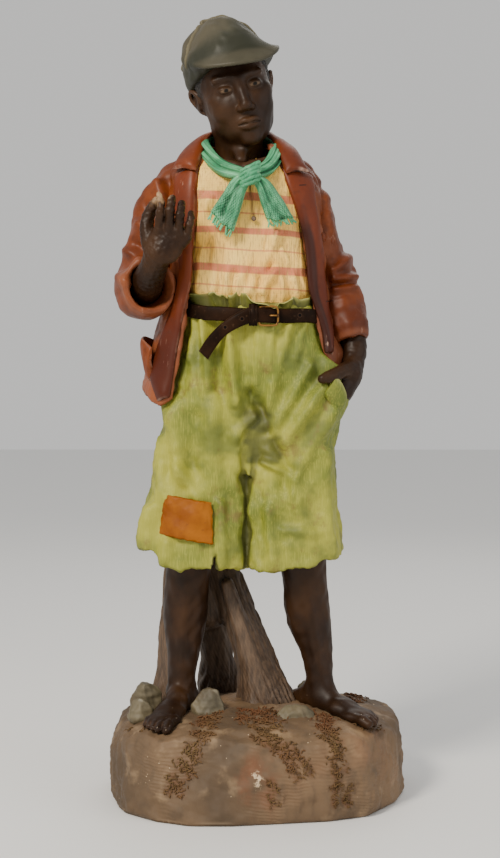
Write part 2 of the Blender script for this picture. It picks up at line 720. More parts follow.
def creases(rows, points, away=0.28):
    # Folds drawn as seen from the front, from one (x, z) to another, each with a width and a rise
    x, z = points[:, 0], points[:, 2]
    total = np.zeros(len(points))
    for startX, startZ, endX, endZ, width, rise in rows:
        runX, runZ = endX - startX, endZ - startZ
        t = np.clip(((x - startX) * runX + (z - startZ) * runZ) / (runX**2 + runZ**2), 0, 1)
        gap = np.hypot(x - startX - t * runX, z - startZ - t * runZ)
        total += rise * (1 - 0.5 * t) * (
            np.exp(-((gap / width) ** 2)) - away * np.exp(-(((gap - 2.1 * width) / width) ** 2))
        )
    return total


def wave(angle, beats, shift=0.0):
    return np.sin(np.radians(beats * angle + shift))


def beyond(grid, at, way):
    # How far a grid's points lie past a plane through at that faces way
    return sum((axis - start) * part for axis, start, part in zip(grid, at, way))


def angleRound(table, points):
    # The angle of points round a garment, 0 at the front
    x, y, z = points.T
    cx, cy = smoothRows(table, z).T[:2]
    return np.degrees(np.arctan2(x - cx, cy - y))


def hull(clay, table, square=2.5, low=None, high=None):
    # Distances to a garment whose level sections are rounded ovals, with the angle round it
    cut, x, y, z = clay.window(low, high)
    columns = smoothRows(table, z.ravel()).astype(np.float32)
    cx, cy, wide, deep = (columns[:, i].reshape(1, 1, -1) for i in range(4))
    dx, dy = x - cx, y - cy
    ratio = (np.abs(dx / wide) ** square + np.abs(dy / deep) ** square) ** (1 / square)
    away = np.sqrt(dx * dx + dy * dy)
    distance = away * (1 - 1 / np.maximum(ratio, 0.02))
    return cut, distance, np.degrees(np.arctan2(dx, -dy)), away, z


trousers = {
    "left": [
        (21.0, -9.3, -0.2, 8.1, 6.7), (24.5, -9.2, -0.2, 8.1, 6.6), (31.0, -8.55, 0.0, 7.3, 6.3),
        (38.0, -7.6, 0.1, 6.85, 6.3), (44.4, -6.2, 0.1, 6.7, 6.6), (51.0, -4.9, 0.1, 5.8, 6.1),
    ],
    "right": [
        (21.0, 5.3, -0.2, 7.35, 6.6), (24.5, 5.15, -0.2, 6.95, 6.4), (31.0, 4.7, 0.0, 6.45, 6.1),
        (38.0, 4.8, 0.1, 6.35, 6.2), (44.4, 5.0, 0.1, 6.7, 6.6), (51.0, 3.8, 0.1, 5.8, 6.1),
    ],
    "seat": [
        (44.9, -0.7, 0.3, 4.6, 4.4), (46.6, -0.7, 0.3, 9.4, 5.9), (49.6, -0.6, 0.2, 11.0, 7.0),
        (55.0, -0.6, 0.0, 10.1, 7.0), (58.6, -0.6, -0.1, 9.7, 6.9),
    ],
    "pocket": [
        (7.6, -1.6, 52.0, 2.6), (9.2, -2.4, 48.6, 3.3), (9.4, -2.6, 45.4, 3.1), (7.8, -1.9, 41.0, 2.4)
    ],
    "hem": 21.6, "hemWall": 1.15, "hemRecess": 3.2, "square": 3.1, "kick": {"left": 3.1, "right": 1.7},
    "step": 0.29,
    "legFolds": {
        "left": [
            (-115, 21, -118, 40, 1.4, 0.5), (150, 22, 165, 42, 1.3, 0.5), (105, 22, 95, 34, 1.2, 0.45),
            (-150, 24, -158, 40, 1.3, 0.5)
        ],
        "right": [
            (105, 21, 108, 36, 1.3, 0.5), (-150, 22, -165, 42, 1.3, 0.5), (150, 21, 160, 32, 1.2, 0.45),
            (-175, 24, 178, 40, 1.3, 0.5)
        ],
    },
    "seatFolds": [
        (150, 57, 155, 46, 0.9, 0.4), (-150, 57, -158, 46, 0.9, 0.4), (100, 57, 96, 47, 0.9, 0.35),
        (180, 57, 178, 44, 0.7, -0.3)
    ],
    "front": [
        (-7.6, 57, -7.0, 47.5, 0.55, 0.5), (-9.0, 57, -9.4, 51.5, 0.5, 0.45),
        (-3.9, 56, -2.6, 36, 0.75, 0.75),
        (-3.2, 44, -2.0, 33, 0.6, -0.3), (-5.8, 56.5, -5.6, 47, 0.6, -0.3), (-12.2, 45, -11.2, 35, 1.0, 0.65),
        (-10.9, 36, -8.8, 32.2, 0.8, 0.6), (-13.9, 40, -14.2, 32, 0.8, 0.45),
        (-8.4, 43, -9.2, 33.5, 1.1, -0.45),
        (-5.2, 31, -4.9, 22.5, 0.7, 0.45), (-15.2, 30, -16.4, 24, 0.9, 0.5),
        (-12.8, 25.5, -13.4, 21.5, 0.8, 0.35),
        (9.4, 47.6, 3.8, 39.6, 0.7, 0.7), (7.4, 50.4, 1.6, 40.6, 0.65, 0.6), (4.4, 56, 1.0, 42.5, 0.7, 0.5),
        (2.4, 57, 1.7, 50, 0.45, 0.35), (6.6, 56.6, 5.4, 51.5, 0.5, 0.35), (10.8, 44, 5.2, 34.6, 0.8, 0.55),
        (1.4, 40.8, 4.6, 35.8, 0.7, -0.55), (0.8, 36.9, 4.3, 35.2, 0.45, 0.55), (5.2, 34, 6.6, 25, 0.8, 0.4),
        (9.4, 38, 10.6, 24, 0.9, 0.6), (1.6, 30, 2.2, 23, 0.7, 0.35), (3.4, 27.3, 9.0, 26.8, 0.6, 0.35),
        (-0.9, 46.5, 1.8, 41.6, 0.7, -0.5), (-0.4, 43.4, -3.4, 40.4, 0.6, 0.45),
    ],
}


def makeTrousers(paint):
    clay = Clay((-19.5, -9.5, 19.5), (16.0, 9.5, 59.5), trousers["step"])
    for side in ("left", "right"):
        cut, distance, angle, _, z = hull(clay, trousers[side], trousers["square"])
        outward = np.cos(np.radians(angle + 92 if side == "left" else angle - 86))
        hem = trousers["hem"] + trousers["kick"][side] * eased(outward, 0.15, 1.0)
        if side == "left":
            # a short split in the hem
            hem = hem + 2.6 * np.exp(-(((angle - 28) * 0.13 / 0.24) ** 2))
        hem = hem + 0.16 * wave(angle, 4, 40) + 0.12 * wave(angle, 7, 90) + 0.06 * wave(angle, 37, 60)
        hem = hem + 0.07 * wave(angle, 19) * wave(angle, 5, 30)
        leg = -softMin(-distance, z - hem, 0.5)
        leg = np.maximum(leg, z - 51.0)
        inner = np.maximum(distance + trousers["hemWall"], z - trousers["hem"] - trousers["hemRecess"])
        clay.merge(cut, -softMin(-leg, inner, 0.5), 0.5)
    cut, distance, _, _, z = hull(clay, trousers["seat"], low=(-14, -9.4, 43.5), high=(14, 9.4, 59.4))
    clay.merge(cut, np.maximum(np.maximum(distance, z - 58.9), 45.2 - z), 1.3)
    clay.chain(trousers["pocket"], 1.6)
    for start, end in (((-1.0, -4.2, 46.5), (-1.35, -4.7, 35.0)), ((-1.0, 4.2, 46.5), (-1.35, 4.6, 36.0))):
        # cloth that fills the gap between the legs
        clay.bone(start, end, 1.9, 0.35, 0.9)

    def relief(points):
        x, y, z = points.T
        total = 0.12 * cloud(points, 3.2, 3) + 0.05 * cloud(points, 1.1, 4)
        total += 0.16 * cloud(points * (1, 1, 0.35), 2.6, 5)
        for side, sign in (("left", -1), ("right", 1)):
            near = eased(sign * (x + 1.5), -0.8, 0.8) * eased(z, 52, 47)
            total += near * foldRise(trousers["legFolds"][side], angleRound(trousers[side], points), z, 6.6)
        total += eased(z, 44, 48) * foldRise(
            trousers["seatFolds"], angleRound(trousers["seat"], points), z, 8.4
        )
        total += (1.9 - 0.6 * eased(x, 0, 4)) * eased(y, -1.0, -3.5) * creases(trousers["front"], points)
        fly, seam = eased(y, -2, -4) * eased(z, 43.5, 47.5), -0.55 + (z - 57) * 0.035
        total += fly * 0.42 * eased(x, seam, seam + 0.4) * eased(x, 3.0, 0.6)
        return total - fly * 0.2 * np.exp(-(((x - seam) / 0.16) ** 2))

    made = clay.piece("trousers", paint, relief, tucked)
    points = pointsOf(made)
    x, y, z = points.T
    dark = eased(
        np.maximum(np.abs(x - 0.9) / 2.6, np.abs(z - 38.4) / 2.2) + 0.12 * cloud(points, 1.3, 8), 1.3, 0.7
    )
    crotch = eased(np.hypot(x / 2.6, (z - 42.4) / 3.2) + 0.1 * cloud(points, 1.6, 9), 1.25, 0.35)
    addMark(made.data, "grime", np.maximum(dark * 0.75 * eased(z, 36.3, 36.9), crotch * 0.8) * (y < 0))
    return made


torso = {
    "sections": [
        (55.0, -0.6, 0.0, 8.9, 6.2), (58.8, -0.7, -0.1, 9.0, 6.5), (61.5, -0.8, -0.2, 9.3, 7.1),
        (66.0, -1.2, -0.1, 9.4, 7.1), (71.0, -1.7, 0.1, 9.8, 7.3), (75.5, -2.2, 0.3, 9.9, 7.2),
        (78.6, -2.4, 0.5, 9.0, 6.3), (81.2, -2.6, 0.8, 5.8, 4.4),
    ],
    "folds": [
        (-28, 59, -24, 64, 0.6, 0.3), (-8, 59, -10, 63, 0.5, 0.3), (12, 59, 16, 66, 0.6, 0.3),
        (34, 59, 26, 70, 0.7, 0.3), (-42, 60, -30, 70, 0.7, 0.25), (48, 59, 44, 63, 0.5, 0.3),
        (-18, 59, -17, 62, 0.4, 0.25), (2, 59, 3, 62, 0.4, 0.25), (23, 59, 22, 63, 0.4, 0.25),
    ],
    "front": [
        (2.6, 69.0, 1.4, 65.0, 0.45, 0.4), (2.4, 63.6, 0.6, 60.8, 0.45, 0.5),
        (-4.2, 63.0, -4.6, 60.4, 0.5, 0.4),
        (-2.8, 62.6, -2.6, 60.2, 0.35, 0.35), (4.8, 62.4, 5.4, 60.4, 0.4, 0.35),
        (-7.6, 66.5, -8.2, 60.8, 0.7, 0.4),
        (3.4, 66.6, 4.4, 64.8, 0.35, 0.3), (-6.8, 73.5, -8.0, 68.0, 0.6, 0.3),
        (-0.2, 63.4, -1.2, 60.4, 0.4, 0.3),
    ],
    "step": 0.27,
}


def fromSlit(points):
    # How far points lie to the right of the slit at the shirt's neck
    return points[:, 0] + 1.04 - (75.1 - points[:, 2]) * 0.125


def makeShirt(paint):
    clay = Clay((-12.5, -9.0, 58.0), (9.5, 5.0, 80.5), torso["step"])
    cut, distance, _, _, z = hull(clay, torso["sections"])
    _, x, y, _ = clay.window()
    neck = np.sqrt(((x + 2.3) / 1.35) ** 2 + (y + 5.5) ** 2 + (z - 80.4) ** 2) - 3.6
    shirt = np.maximum(np.maximum(distance, z - 79.6), 58.6 - z)
    clay.merge(cut, -softMin(-shirt, neck, 0.3))

    def relief(points):
        x, y, z = points.T
        crinkle = np.sin(
            x * 9 + 2.2 * np.sin(z * 0.7) + 1.4 * np.sin(x * 2.3)
        ) * eased(cloud(points, 4, 11), -1.2, 0.6)
        line, below = fromSlit(points), eased(z, 70.8, 71.2) * (y < 0)
        slit = below * (0.16 * np.exp(-(((line - 0.3) / 0.16) ** 2)) - 0.3 * np.exp(-((line / 0.14) ** 2)))
        front = 1.7 * eased(y, -1, -3) * creases(torso["front"], points)
        folds = 1.5 * foldRise(torso["folds"], angleRound(torso["sections"], points), z, 8.0)
        return folds + front + 0.075 * crinkle + slit + 0.1 * cloud(points, 3.0, 12)

    made = clay.piece("shirt", paint, relief, tucked)
    points = pointsOf(made)
    slit = eased(np.abs(fromSlit(points)), 0.2, 0.06) * eased(points[:, 2], 70.8, 71.1) * (points[:, 1] < 0)
    addMark(made.data, "slit", slit)
    return made


def makeShirtButton(paint):
    # The small bead that closes the neck slit
    clay = Clay((-1.3, -9.0, 70.0), (0.3, -6.6, 71.6), 0.06)
    clay.ball((-0.52, -7.75, 70.8), (0.36, 0.26, 0.36))
    clay.ball((-0.52, -8.05, 70.8), (0.14, 0.12, 0.14), soft=0.08, carve=True)
    return clay.piece("shirt_button", paint, reach=0.3)


jacket = {
    "sections": [
        (42.0, -2.0, 0.9, 14.5, 8.9), (47.0, -1.8, 0.9, 14.6, 8.7), (52.0, -1.5, 0.8, 14.0, 8.4),
        (57.0, -1.6, 0.6, 12.5, 8.1), (62.0, -1.35, 0.4, 11.5, 8.1), (67.0, -1.5, 0.4, 11.2, 8.0),
        (72.0, -1.8, 0.5, 11.3, 7.7), (75.5, -2.1, 0.6, 11.2, 7.3), (78.4, -2.4, 0.7, 9.9, 6.4),
        (81.6, -2.6, 0.8, 6.4, 5.0),
    ],
    "edges": [
        (42.0, -56.0, 88.0), (45.0, -57.0, 86.0), (48.5, -56.0, 78.0), (51.0, -55.0, 65.0),
        (54.0, -54.0, 62.0),
        (57.0, -53.5, 61.0), (62.0, -53.5, 58.0), (67.0, -50.5, 54.0), (72.0, -46.0, 51.0),
        (75.5, -44.5, 46.0),
        (78.4, -44.0, 43.0), (81.6, -47.0, 45.0),
    ],
    "folds": [
        (-105, 58, -100, 44, 1.4, 0.6), (-140, 60, -136, 44, 1.4, 0.5), (180, 66, 178, 44, 1.3, 0.5),
        (140, 60, 136, 44, 1.4, 0.5), (110, 56, 104, 44, 1.3, 0.4), (150, 74, 165, 68, 1.2, 0.4),
        (-150, 74, -168, 68, 1.2, 0.4), (160, 60, 120, 58, 1.0, 0.35), (-160, 61, -125, 57, 1.0, 0.35),
    ],
    "sleeveFolds": {
        "left": [
            (-15.6, 73.0, -14.4, 71.8, 0.55, -0.5), (-17.0, 70.6, -15.2, 69.2, 0.7, 0.5),
            (-17.2, 67.6, -15.4, 66.4, 0.6, -0.5),
            (-18.4, 66.6, -16.0, 64.6, 0.7, 0.6), (-19.6, 63.0, -17.2, 61.4, 0.7, 0.45),
            (-19.8, 60.4, -17.0, 58.4, 0.8, -0.35),
            (-12.8, 76.4, -11.0, 70.8, 0.7, -0.4), (-14.2, 76.2, -13.0, 72.0, 0.8, 0.35),
        ],
        "right": [
            (10.8, 63.8, 13.4, 66.0, 0.75, 0.85), (10.9, 62.6, 14.2, 63.2, 0.5, 0.8),
            (11.0, 61.3, 14.0, 61.6, 0.45, 0.6),
            (11.0, 64.9, 12.4, 66.8, 0.4, -0.4), (11.0, 62.0, 14.4, 62.4, 0.3, -0.45),
            (9.8, 71.8, 10.6, 68.6, 0.8, 0.35),
            (12.2, 59.8, 13.6, 55.2, 0.9, 0.3), (9.4, 76.0, 9.0, 72.4, 0.5, -0.3),
        ],
    },
    "cloth": 0.8, "hem": 43.4, "square": 2.4,
    "upperLeft": [
        (-9.6, 1.0, 77.2, 3.4), (-12.9, 0.8, 73.6, 3.95), (-14.8, 0.9, 68.2, 3.8), (-16.2, 0.8, 62.6, 3.8)
    ],
    "lowerLeft": [(-16.5, 1.2, 62.8, 3.6), (-16.3, -2.4, 61.0, 3.8), (-15.0, -6.4, 61.6, 3.75)],
    "upperRight": [
        (4.8, 1.0, 77.0, 3.3), (6.9, 0.9, 73.0, 3.6), (8.3, 1.5, 67.6, 3.5), (10.8, 2.2, 62.6, 3.4)
    ],
    "lowerRight": [(10.6, 2.2, 63.4, 3.35), (12.0, 1.0, 58.6, 3.2), (13.5, -0.8, 53.8, 2.6)],
}


def makeJacket(paint):
    clay = Clay((-18.5, -9.6, 42.2), (14.5, 11.2, 82.2), 0.325)
    cut, distance, angle, away, z = hull(clay, jacket["sections"], jacket["square"])
    edges = smoothRows(jacket["edges"], z.ravel()).astype(np.float32)
    left, right = (edges[:, i].reshape(1, 1, -1) for i in range(2))
    hem = jacket["hem"] + 3.5 * np.exp(-(((np.mod(angle, 360) - 268) / 23) ** 2)) + 0.25 * wave(angle, 4)
    fromEdge = np.minimum(np.abs(angle - left), np.abs(angle - right))
    hem = hem + 1.3 * np.exp(-((fromEdge * (math.pi / 180) * away / 1.3) ** 2))
    filled = eased(z, 53, 60) * eased(fromEdge, 14, 40) * 2.2
    shell = -softMin(-distance, distance + jacket["cloth"] + filled, 0.35)
    shell = -softMin(-shell, z - hem, 0.5)
    shell = np.maximum(shell, z - 81.6)
    opening = np.minimum(angle - left, right - angle) * (math.pi / 180) * np.maximum(away, 2.0)
    shell = -softMin(-shell, -opening, 0.5)
    clay.merge(cut, shell)

    def relief(points):
        folds = foldRise(jacket["folds"], angleRound(jacket["sections"], points), points[:, 2], 9.5)
        return folds + 0.12 * cloud(points, 3.4, 21) + 0.05 * cloud(points, 1.2, 22)

    made = [clay.piece("jacket_body", paint, relief)]
    for side in ("left", "right"):
        upper, lower = jacket["upper" + side.title()], jacket["lower" + side.title()]
        low = np.min([row[:3] for row in upper + lower], axis=0) - 4.6
        high = np.max([row[:3] for row in upper + lower], axis=0) + 4.6
        clay = Clay(low, high, 0.26)
        clay.chain(upper, 0.5, count=8)
        clay.chain(lower, 1.0, count=6)
        end, radius = np.array(lower[-1][:3]), lower[-1][3]
        heading = (end - lower[-2][:3]) / np.linalg.norm(end - lower[-2][:3])
        cut, *grid = clay.window()
        near = np.sqrt(sum((axis - at) ** 2 for axis, at in zip(grid, end)))
        clay.merge(cut, np.where(near < 5.5, -beyond(grid, end, heading), 5.0), 0.35, carve=True)
        inside = radius - (0.5 if side == "left" else 0.75)
        clay.bone(end - heading * 4.2, end + heading * 0.4, inside - 1.0, inside, 0.3, carve=True)
        clay.bone(end + heading * 0.4, end + heading * 3, inside, inside + 0.2, 0.2, carve=True)
        folds = jacket["sleeveFolds"][side]

        def relief(points, folds=folds):
            slow = 0.12 * cloud(points, 4.2, 31) + 0.05 * cloud(points * (1, 1, 1.6), 2.4, 32)
            slow = slow + 0.015 * cloud(points, 1.0, 33)
            behind = eased(points[:, 1], 1.5, 3.0)
            ripple = 0.3 * np.sin(points[:, 2] * 1.5 + cloud(points, 4, 34))
            return creases(folds, points) * (1 - behind) + slow + behind * ripple

        made.append(clay.piece(f"jacket_sleeve_{side}", paint, relief))
    return made


collar = {
    "inner": [
        (-8.6, -6.3, 77.6), (-7.7, -4.2, 80.4), (-7.0, -0.8, 83.0), (-5.5, 3.4, 84.4), (-2.6, 5.2, 84.7),
        (0.4, 3.6, 84.4), (1.9, -0.8, 83.0), (2.9, -4.0, 80.6), (3.9, -6.3, 77.2),
    ],
    "outer": [
        (-11.9, -4.2, 78.0), (-11.1, -2.2, 79.8), (-10.2, 0.8, 80.9), (-8.0, 5.2, 80.6), (-2.6, 7.4, 80.4),
        (2.9, 5.2, 80.6), (4.9, 0.6, 80.9), (6.1, -2.4, 79.6), (7.2, -4.4, 77.6),
    ],
    "lapels": {
        "left": (
            [
                (-8.2, 78.2), (-8.6, 75.0), (-8.7, 72.0), (-9.1, 68.1), (-9.4, 61.8), (-10.3, 57.9),
                (-11.3, 52.7), (-11.8, 49.5), (-12.3, 46.0)
            ],
            [
                (-11.5, 77.5), (-11.8, 75.0), (-11.6, 72.0), (-10.9, 67.5), (-11.1, 61.8), (-12.5, 57.3),
                (-13.9, 53.7), (-15.2, 48.9), (-14.1, 45.3)
            ],
        ),
        "right": (
            [
                (3.4, 78.0), (4.1, 75.7), (4.8, 73.8), (5.75, 71.0), (6.5, 68.3), (6.9, 65.5), (7.3, 61.0),
                (8.2, 58.4), (9.1, 55.5), (9.5, 52.2)
            ],
            [
                (7.7, 77.4), (8.1, 75.4), (8.15, 73.6), (8.5, 71.0), (8.9, 68.3), (9.3, 65.0), (9.7, 60.5),
                (10.1, 57.6), (10.5, 55.0), (10.6, 52.0)
            ],
        ),
    },
    "chestWelt": ([(9.0, 69.3), (10.0, 69.2), (10.7, 69.0)], [(9.1, 68.1), (10.1, 68.0), (10.8, 67.8)]),
    "pocket": (
        [(-14.7, 1.6, 54.0), (-16.2, -1.0, 54.6), (-16.3, -3.2, 54.2), (-14.9, -4.5, 53.0)],
        [(-14.7, 1.4, 48.6), (-15.2, -1.2, 48.2), (-15.3, -2.8, 48.4), (-14.7, -3.6, 48.8)],
    ),
}


def onJacket(rows, out=0.1):
    # Points of the jacket's front under (x, z) rows, raised by out
    x, z = np.array(rows, float).T
    cx, cy, wide, deep = smoothRows(jacket["sections"], z).T
    square = jacket["square"]
    ahead = np.maximum(1 - np.abs((x - cx) / (wide + out)) ** square, 0.02) ** (1 / square)
    return np.column_stack([x, cy - (deep + out) * ahead, z])


def tucked(points):
    # What is worn under the jacket stays inside it
    x, y, z = points.T
    cx, cy, wide, deep = smoothRows(jacket["sections"], z).T
    left, right = smoothRows(jacket["edges"], z).T
    dx, dy = x - cx, y - cy
    angle = np.degrees(np.arctan2(dx, -dy))
    square = jacket["square"]
    ratio = (np.abs(dx / wide) ** square + np.abs(dy / deep) ** square) ** (1 / square)
    room = np.hypot(dx, dy) / np.maximum(ratio, 0.05)
    cover = eased(np.maximum(left - angle, angle - right), -1.0, 5.0) * eased(z, 43.0, 45.5)
    share = 1 - cover * (1 - np.minimum(1, (1 - 1.25 / room) / np.maximum(ratio, 0.05)))
    return np.column_stack([cx + dx * share, cy + dy * share, z])


def makeCollar(paint):
    def wavy(u, v):
        return (
            0.07 * np.sin(v * 13 + u * 4) + 0.06 * np.sin(v * 7 + 1 - u * 3) + 0.04 * np.sin(v * 31 + u * 7)
        )

    parts = [ribbon(collar["inner"], collar["outer"], 1.15, 90, 18, 0.45, wavy, facing=0.5)]
    for inner, outer in collar["lapels"].values():
        parts.append(
            ribbon(onJacket(inner, 0.15), onJacket(outer, -0.05), 1.0, 100, 20, 0.3, wavy, facing=0.8)
        )
    parts.append(
        ribbon(*(onJacket(rows, 0.05) for rows in collar["chestWelt"]), 0.5, 20, 12, 0.05, facing=0.3)
    )
    parts.append(ribbon(*collar["pocket"], 0.6, 60, 30, 0.35, wavy))
    points, faces, marks = joined(parts)
    return makePiece("jacket_collar", points, faces, paint, marks)


belt = {
    "height": 57.55, "tilt": -0.045, "half": 1.0, "square": 2.4,
    "centre": (-0.6, -0.1), "wide": 9.35, "deep": 6.75,
    "end": (
        [
            (2.6, -7.85, 58.25), (1.0, -8.15, 58.5), (-0.9, -8.3, 58.6), (-2.8, -8.4, 57.8),
            (-4.9, -8.2, 56.4), (-7.0, -7.5, 54.3), (-8.2, -7.1, 52.5)
        ],
        [
            (2.6, -7.85, 56.25), (1.0, -8.15, 56.4), (-0.7, -8.3, 56.4), (-2.4, -8.4, 55.8),
            (-4.2, -8.2, 54.8), (-6.0, -7.6, 52.7), (-6.9, -7.2, 51.3)
        ],
    ),
    "keeper": (
        [(-1.2, -8.2, 59.0), (-1.2, -8.75, 57.5), (-1.2, -8.2, 56.0)],
        [(0.0, -8.2, 59.0), (0.0, -8.75, 57.5), (0.0, -8.2, 56.0)],
    ),
    "buckle": (1.5, -8.0, 57.35), "buckleHalf": (1.35, 1.32), "wire": 0.145,
}


def ovalAt(angle, reach):
    # A point of the waist's oval, pushed out by reach
    square = belt["square"]
    across, ahead = np.sin(np.radians(angle)), np.cos(np.radians(angle))
    size = (np.abs(across) ** square + np.abs(ahead) ** square) ** (-1 / square)
    return (
        belt["centre"][0] + (belt["wide"] + reach) * size * across,
        belt["centre"][1] - (belt["deep"] + reach) * size * ahead,
    )


def beltLevel(x, y):
    return belt["height"] + 0.10 * (y + 7) + belt["tilt"] * (x + 0.6)


def makeBelt():
    rings = []
    section = [
        (-1.6, -0.9), (0.35, -1.0), (0.55, -0.93), (0.6, -0.8), (0.62, 0.0), (0.6, 0.8), (0.55, 0.93),
        (0.35, 1.0), (-1.6, 0.9)
    ]
    for angle in np.linspace(0, 360, 240, endpoint=False):
        sag = 0.1 * math.sin(math.radians(3 * angle)) + 0.05 * math.sin(math.radians(11 * angle))
        ring = []
        for out, up in section:
            x, y = ovalAt(angle, 0.55 + out)
            ring.append((x, y, beltLevel(x, y) + up * belt["half"] + sag))
        rings.append(ring)
    parts = [skinOver(rings, closedRound=True)]
    parts[0] = tucked(parts[0][0]), parts[0][1]
    parts.append(ribbon(*belt["end"], 0.75, 80, 20, 0.05, lambda u, v: 0.05 * np.sin(v * 17)))
    parts.append(ribbon(*belt["keeper"], 0.6, 24, 16, 0.0, lambda u, v: 0.1 * np.cos(u * 12)))
    points, faces, marks = joined(parts)
    return makePiece("belt", points, faces, paintBelt(), marks)


def makeBuckle():
    turn = np.linspace(0, 2 * math.pi, 72, endpoint=False)
    across = np.sign(np.cos(turn)) * np.abs(np.cos(turn)) ** 0.4 * belt["buckleHalf"][0]
    up = np.sign(np.sin(turn)) * np.abs(np.sin(turn)) ** 0.4 * belt["buckleHalf"][1]
    path = np.column_stack([across, 0.03 * across**2 - 0.3, up]) + belt["buckle"]
    parts = [tubeAlong(path, belt["wire"], 10, closedRound=True)]
    centre = np.array(belt["buckle"])
    tongue = np.array([(0.2, -0.45, 0.05), (0.8, -0.62, 0.05), (1.45, -0.5, 0.05)]) + centre
    parts.append(tubeAlong(smoothPath(tongue, 14), 0.12, 8))
    points, faces, _ = joined(parts)
    return makePiece("buckle", points, faces, paintBrass())


def makeFrill(paint):
    # The gathered top of the trousers, standing in loose pleats above the belt
    rings, crests = [], []
    beats = np.random.default_rng(5).uniform(0, 7, 8)
    steps = np.linspace(0, 1, 9)
    for angle in np.linspace(0, 360, 720, endpoint=False):
        turn = math.radians(angle)
        slip = turn + 0.22 * math.sin(3 * turn + beats[4]) + 0.13 * math.sin(7 * turn + beats[5])
        pleat = math.sin(13 * slip + beats[0])
        gather = (
            0.7 * pleat + 0.34 * math.sin(23 * slip + beats[1]) * math.sin(4 * turn)
            + 0.13 * math.sin(47 * slip + beats[6])
        )
        crest = (
            0.4 * math.sin(4 * turn + beats[2]) + 0.34 * math.sin(9 * slip + beats[3])
            + 0.16 * math.sin(31 * slip + beats[7]) - 0.25
        )
        flop = 0.5 + 0.5 * math.sin(6 * slip + beats[1])
        ring = [(-1.7, 0.3), (0.1, 0.3)]
        for t in steps:
            out = 0.2 + 0.6 * t + flop * 0.9 * t**3 + gather * (0.2 + 0.7 * t)
            ring.append((out, 0.7 + (2.2 + crest) * t - flop * 0.7 * t**4))
        top = ring[-1]
        ring += [
            (top[0] - 0.12, top[1] + 0.14), (top[0] - 0.3, top[1]), (-0.2 + 0.4 * gather, 1.8), (-1.7, 1.6)
        ]
        spots = []
        for out, up in ring:
            x, y = ovalAt(angle, out + 0.1)
            spots.append((x, y, beltLevel(x, y) + up))
        rings.append(spots)
        low = max(0.0, min(1.0, 0.5 - 0.75 * gather))
        lit = 3 * (0.4 + 0.6 * (gather > 0))
        risen = [(max(0.0, t - 0.75) * lit, low * (1 - 0.55 * t)) for t in steps]
        crests.append([(0.0, low), (0.0, low)] + risen + [(1, 0), (0.8, 0.3), (0, 1), (0, 1)])
    points, faces = skinOver(rings, closedRound=True)
    crests = np.array(crests).reshape(-1, 2)
    return makePiece(
        "waist_frill", tucked(points), faces, paint, {"crest": crests[:, 0], "hollow": crests[:, 1] * 0.42}
    )


patch = (
    [(-13.0, -5.6, 32.3), (-13.5, -5.7, 29.6), (-13.9, -5.6, 26.7)],
    [(-6.4, -6.5, 31.1), (-6.3, -6.8, 28.2), (-6.2, -6.8, 25.3)],
)
pocketLip = (
    [(10.9, -6.9, 49.2), (11.9, -6.1, 47.9), (12.5, -4.9, 46.4), (12.3, -3.4, 44.8)],
    [(9.3, -6.4, 46.6), (10.0, -5.9, 45.2), (10.5, -5.2, 44.0), (10.6, -4.1, 42.8)],
)


def makePocketLip(paint):
    # The edge of the pocket that the hand is pushed into
    points, faces, marks = ribbon(*pocketLip, 0.7, 60, 24, 0.25, lambda u, v: 0.05 * np.sin(v * 12))
    marks["crest"] = (1 - marks["across"]) ** 12
    return makePiece("pocket_lip", points, faces, paint, marks)


def makePatch():
    points, faces, marks = ribbon(
        *patch, 0.9, 44, 44, 0.85, lambda u, v: 0.12 * np.sin(u * 9 + v * 4) + 0.08 * np.sin(v * 13 - u * 5)
    )
    rough = 0.08 * cloud(points, 0.8, 15)
    return makePiece(
        "knee_patch", points + np.column_stack([rough, 0 * rough, 0.08 * cloud(points, 0.7, 16)]), faces,
        paintPatch(), marks
    )


scarf = {
    "loops": {
        "left": (
            [
                (-2.6, 4.6, 84.0), (-5.8, 3.2, 83.8), (-7.2, -0.4, 83.0), (-6.7, -3.6, 81.4),
                (-4.6, -6.8, 79.0), (-1.5, -8.7, 77.6)
            ],
            [
                (-2.6, 5.4, 82.8), (-6.6, 3.8, 82.4), (-8.1, -0.4, 81.0), (-7.3, -4.2, 78.8),
                (-4.9, -7.3, 76.6), (-1.5, -8.9, 75.8)
            ],
        ),
        "right": (
            [
                (-2.6, 4.6, 84.0), (0.6, 3.0, 83.5), (2.2, -0.6, 82.5), (1.9, -3.8, 80.9),
                (0.8, -6.8, 78.8), (-0.6, -8.7, 77.6)
            ],
            [
                (-2.6, 5.4, 82.8), (1.4, 3.6, 82.4), (3.3, -0.6, 80.9), (3.0, -4.4, 78.6),
                (1.4, -7.4, 76.6), (-0.6, -8.9, 75.8)
            ],
        ),
    },
    "ends": {
        "left": (
            [(-1.7, -9.2, 77.0), (-3.1, -9.1, 76.4), (-4.9, -9.0, 74.0), (-6.5, -8.6, 71.7)],
            [(-0.8, -9.3, 76.0), (-1.5, -9.5, 74.6), (-2.3, -9.2, 72.0), (-3.3, -8.8, 68.8)],
        ),
        "right": (
            [(-1.0, -9.3, 76.0), (-0.3, -9.4, 75.1), (0.5, -9.1, 72.6), (1.2, -8.6, 70.5)],
            [(-0.4, -9.2, 76.8), (1.3, -9.1, 76.1), (3.1, -8.9, 73.9), (5.0, -8.2, 71.0)],
        ),
    },
    "cloth": 0.95, "knot": (-1.0, -9.3, 76.6), "strands": 15, "strandLength": 0.0105, "strandWidth": 0.0010,
}


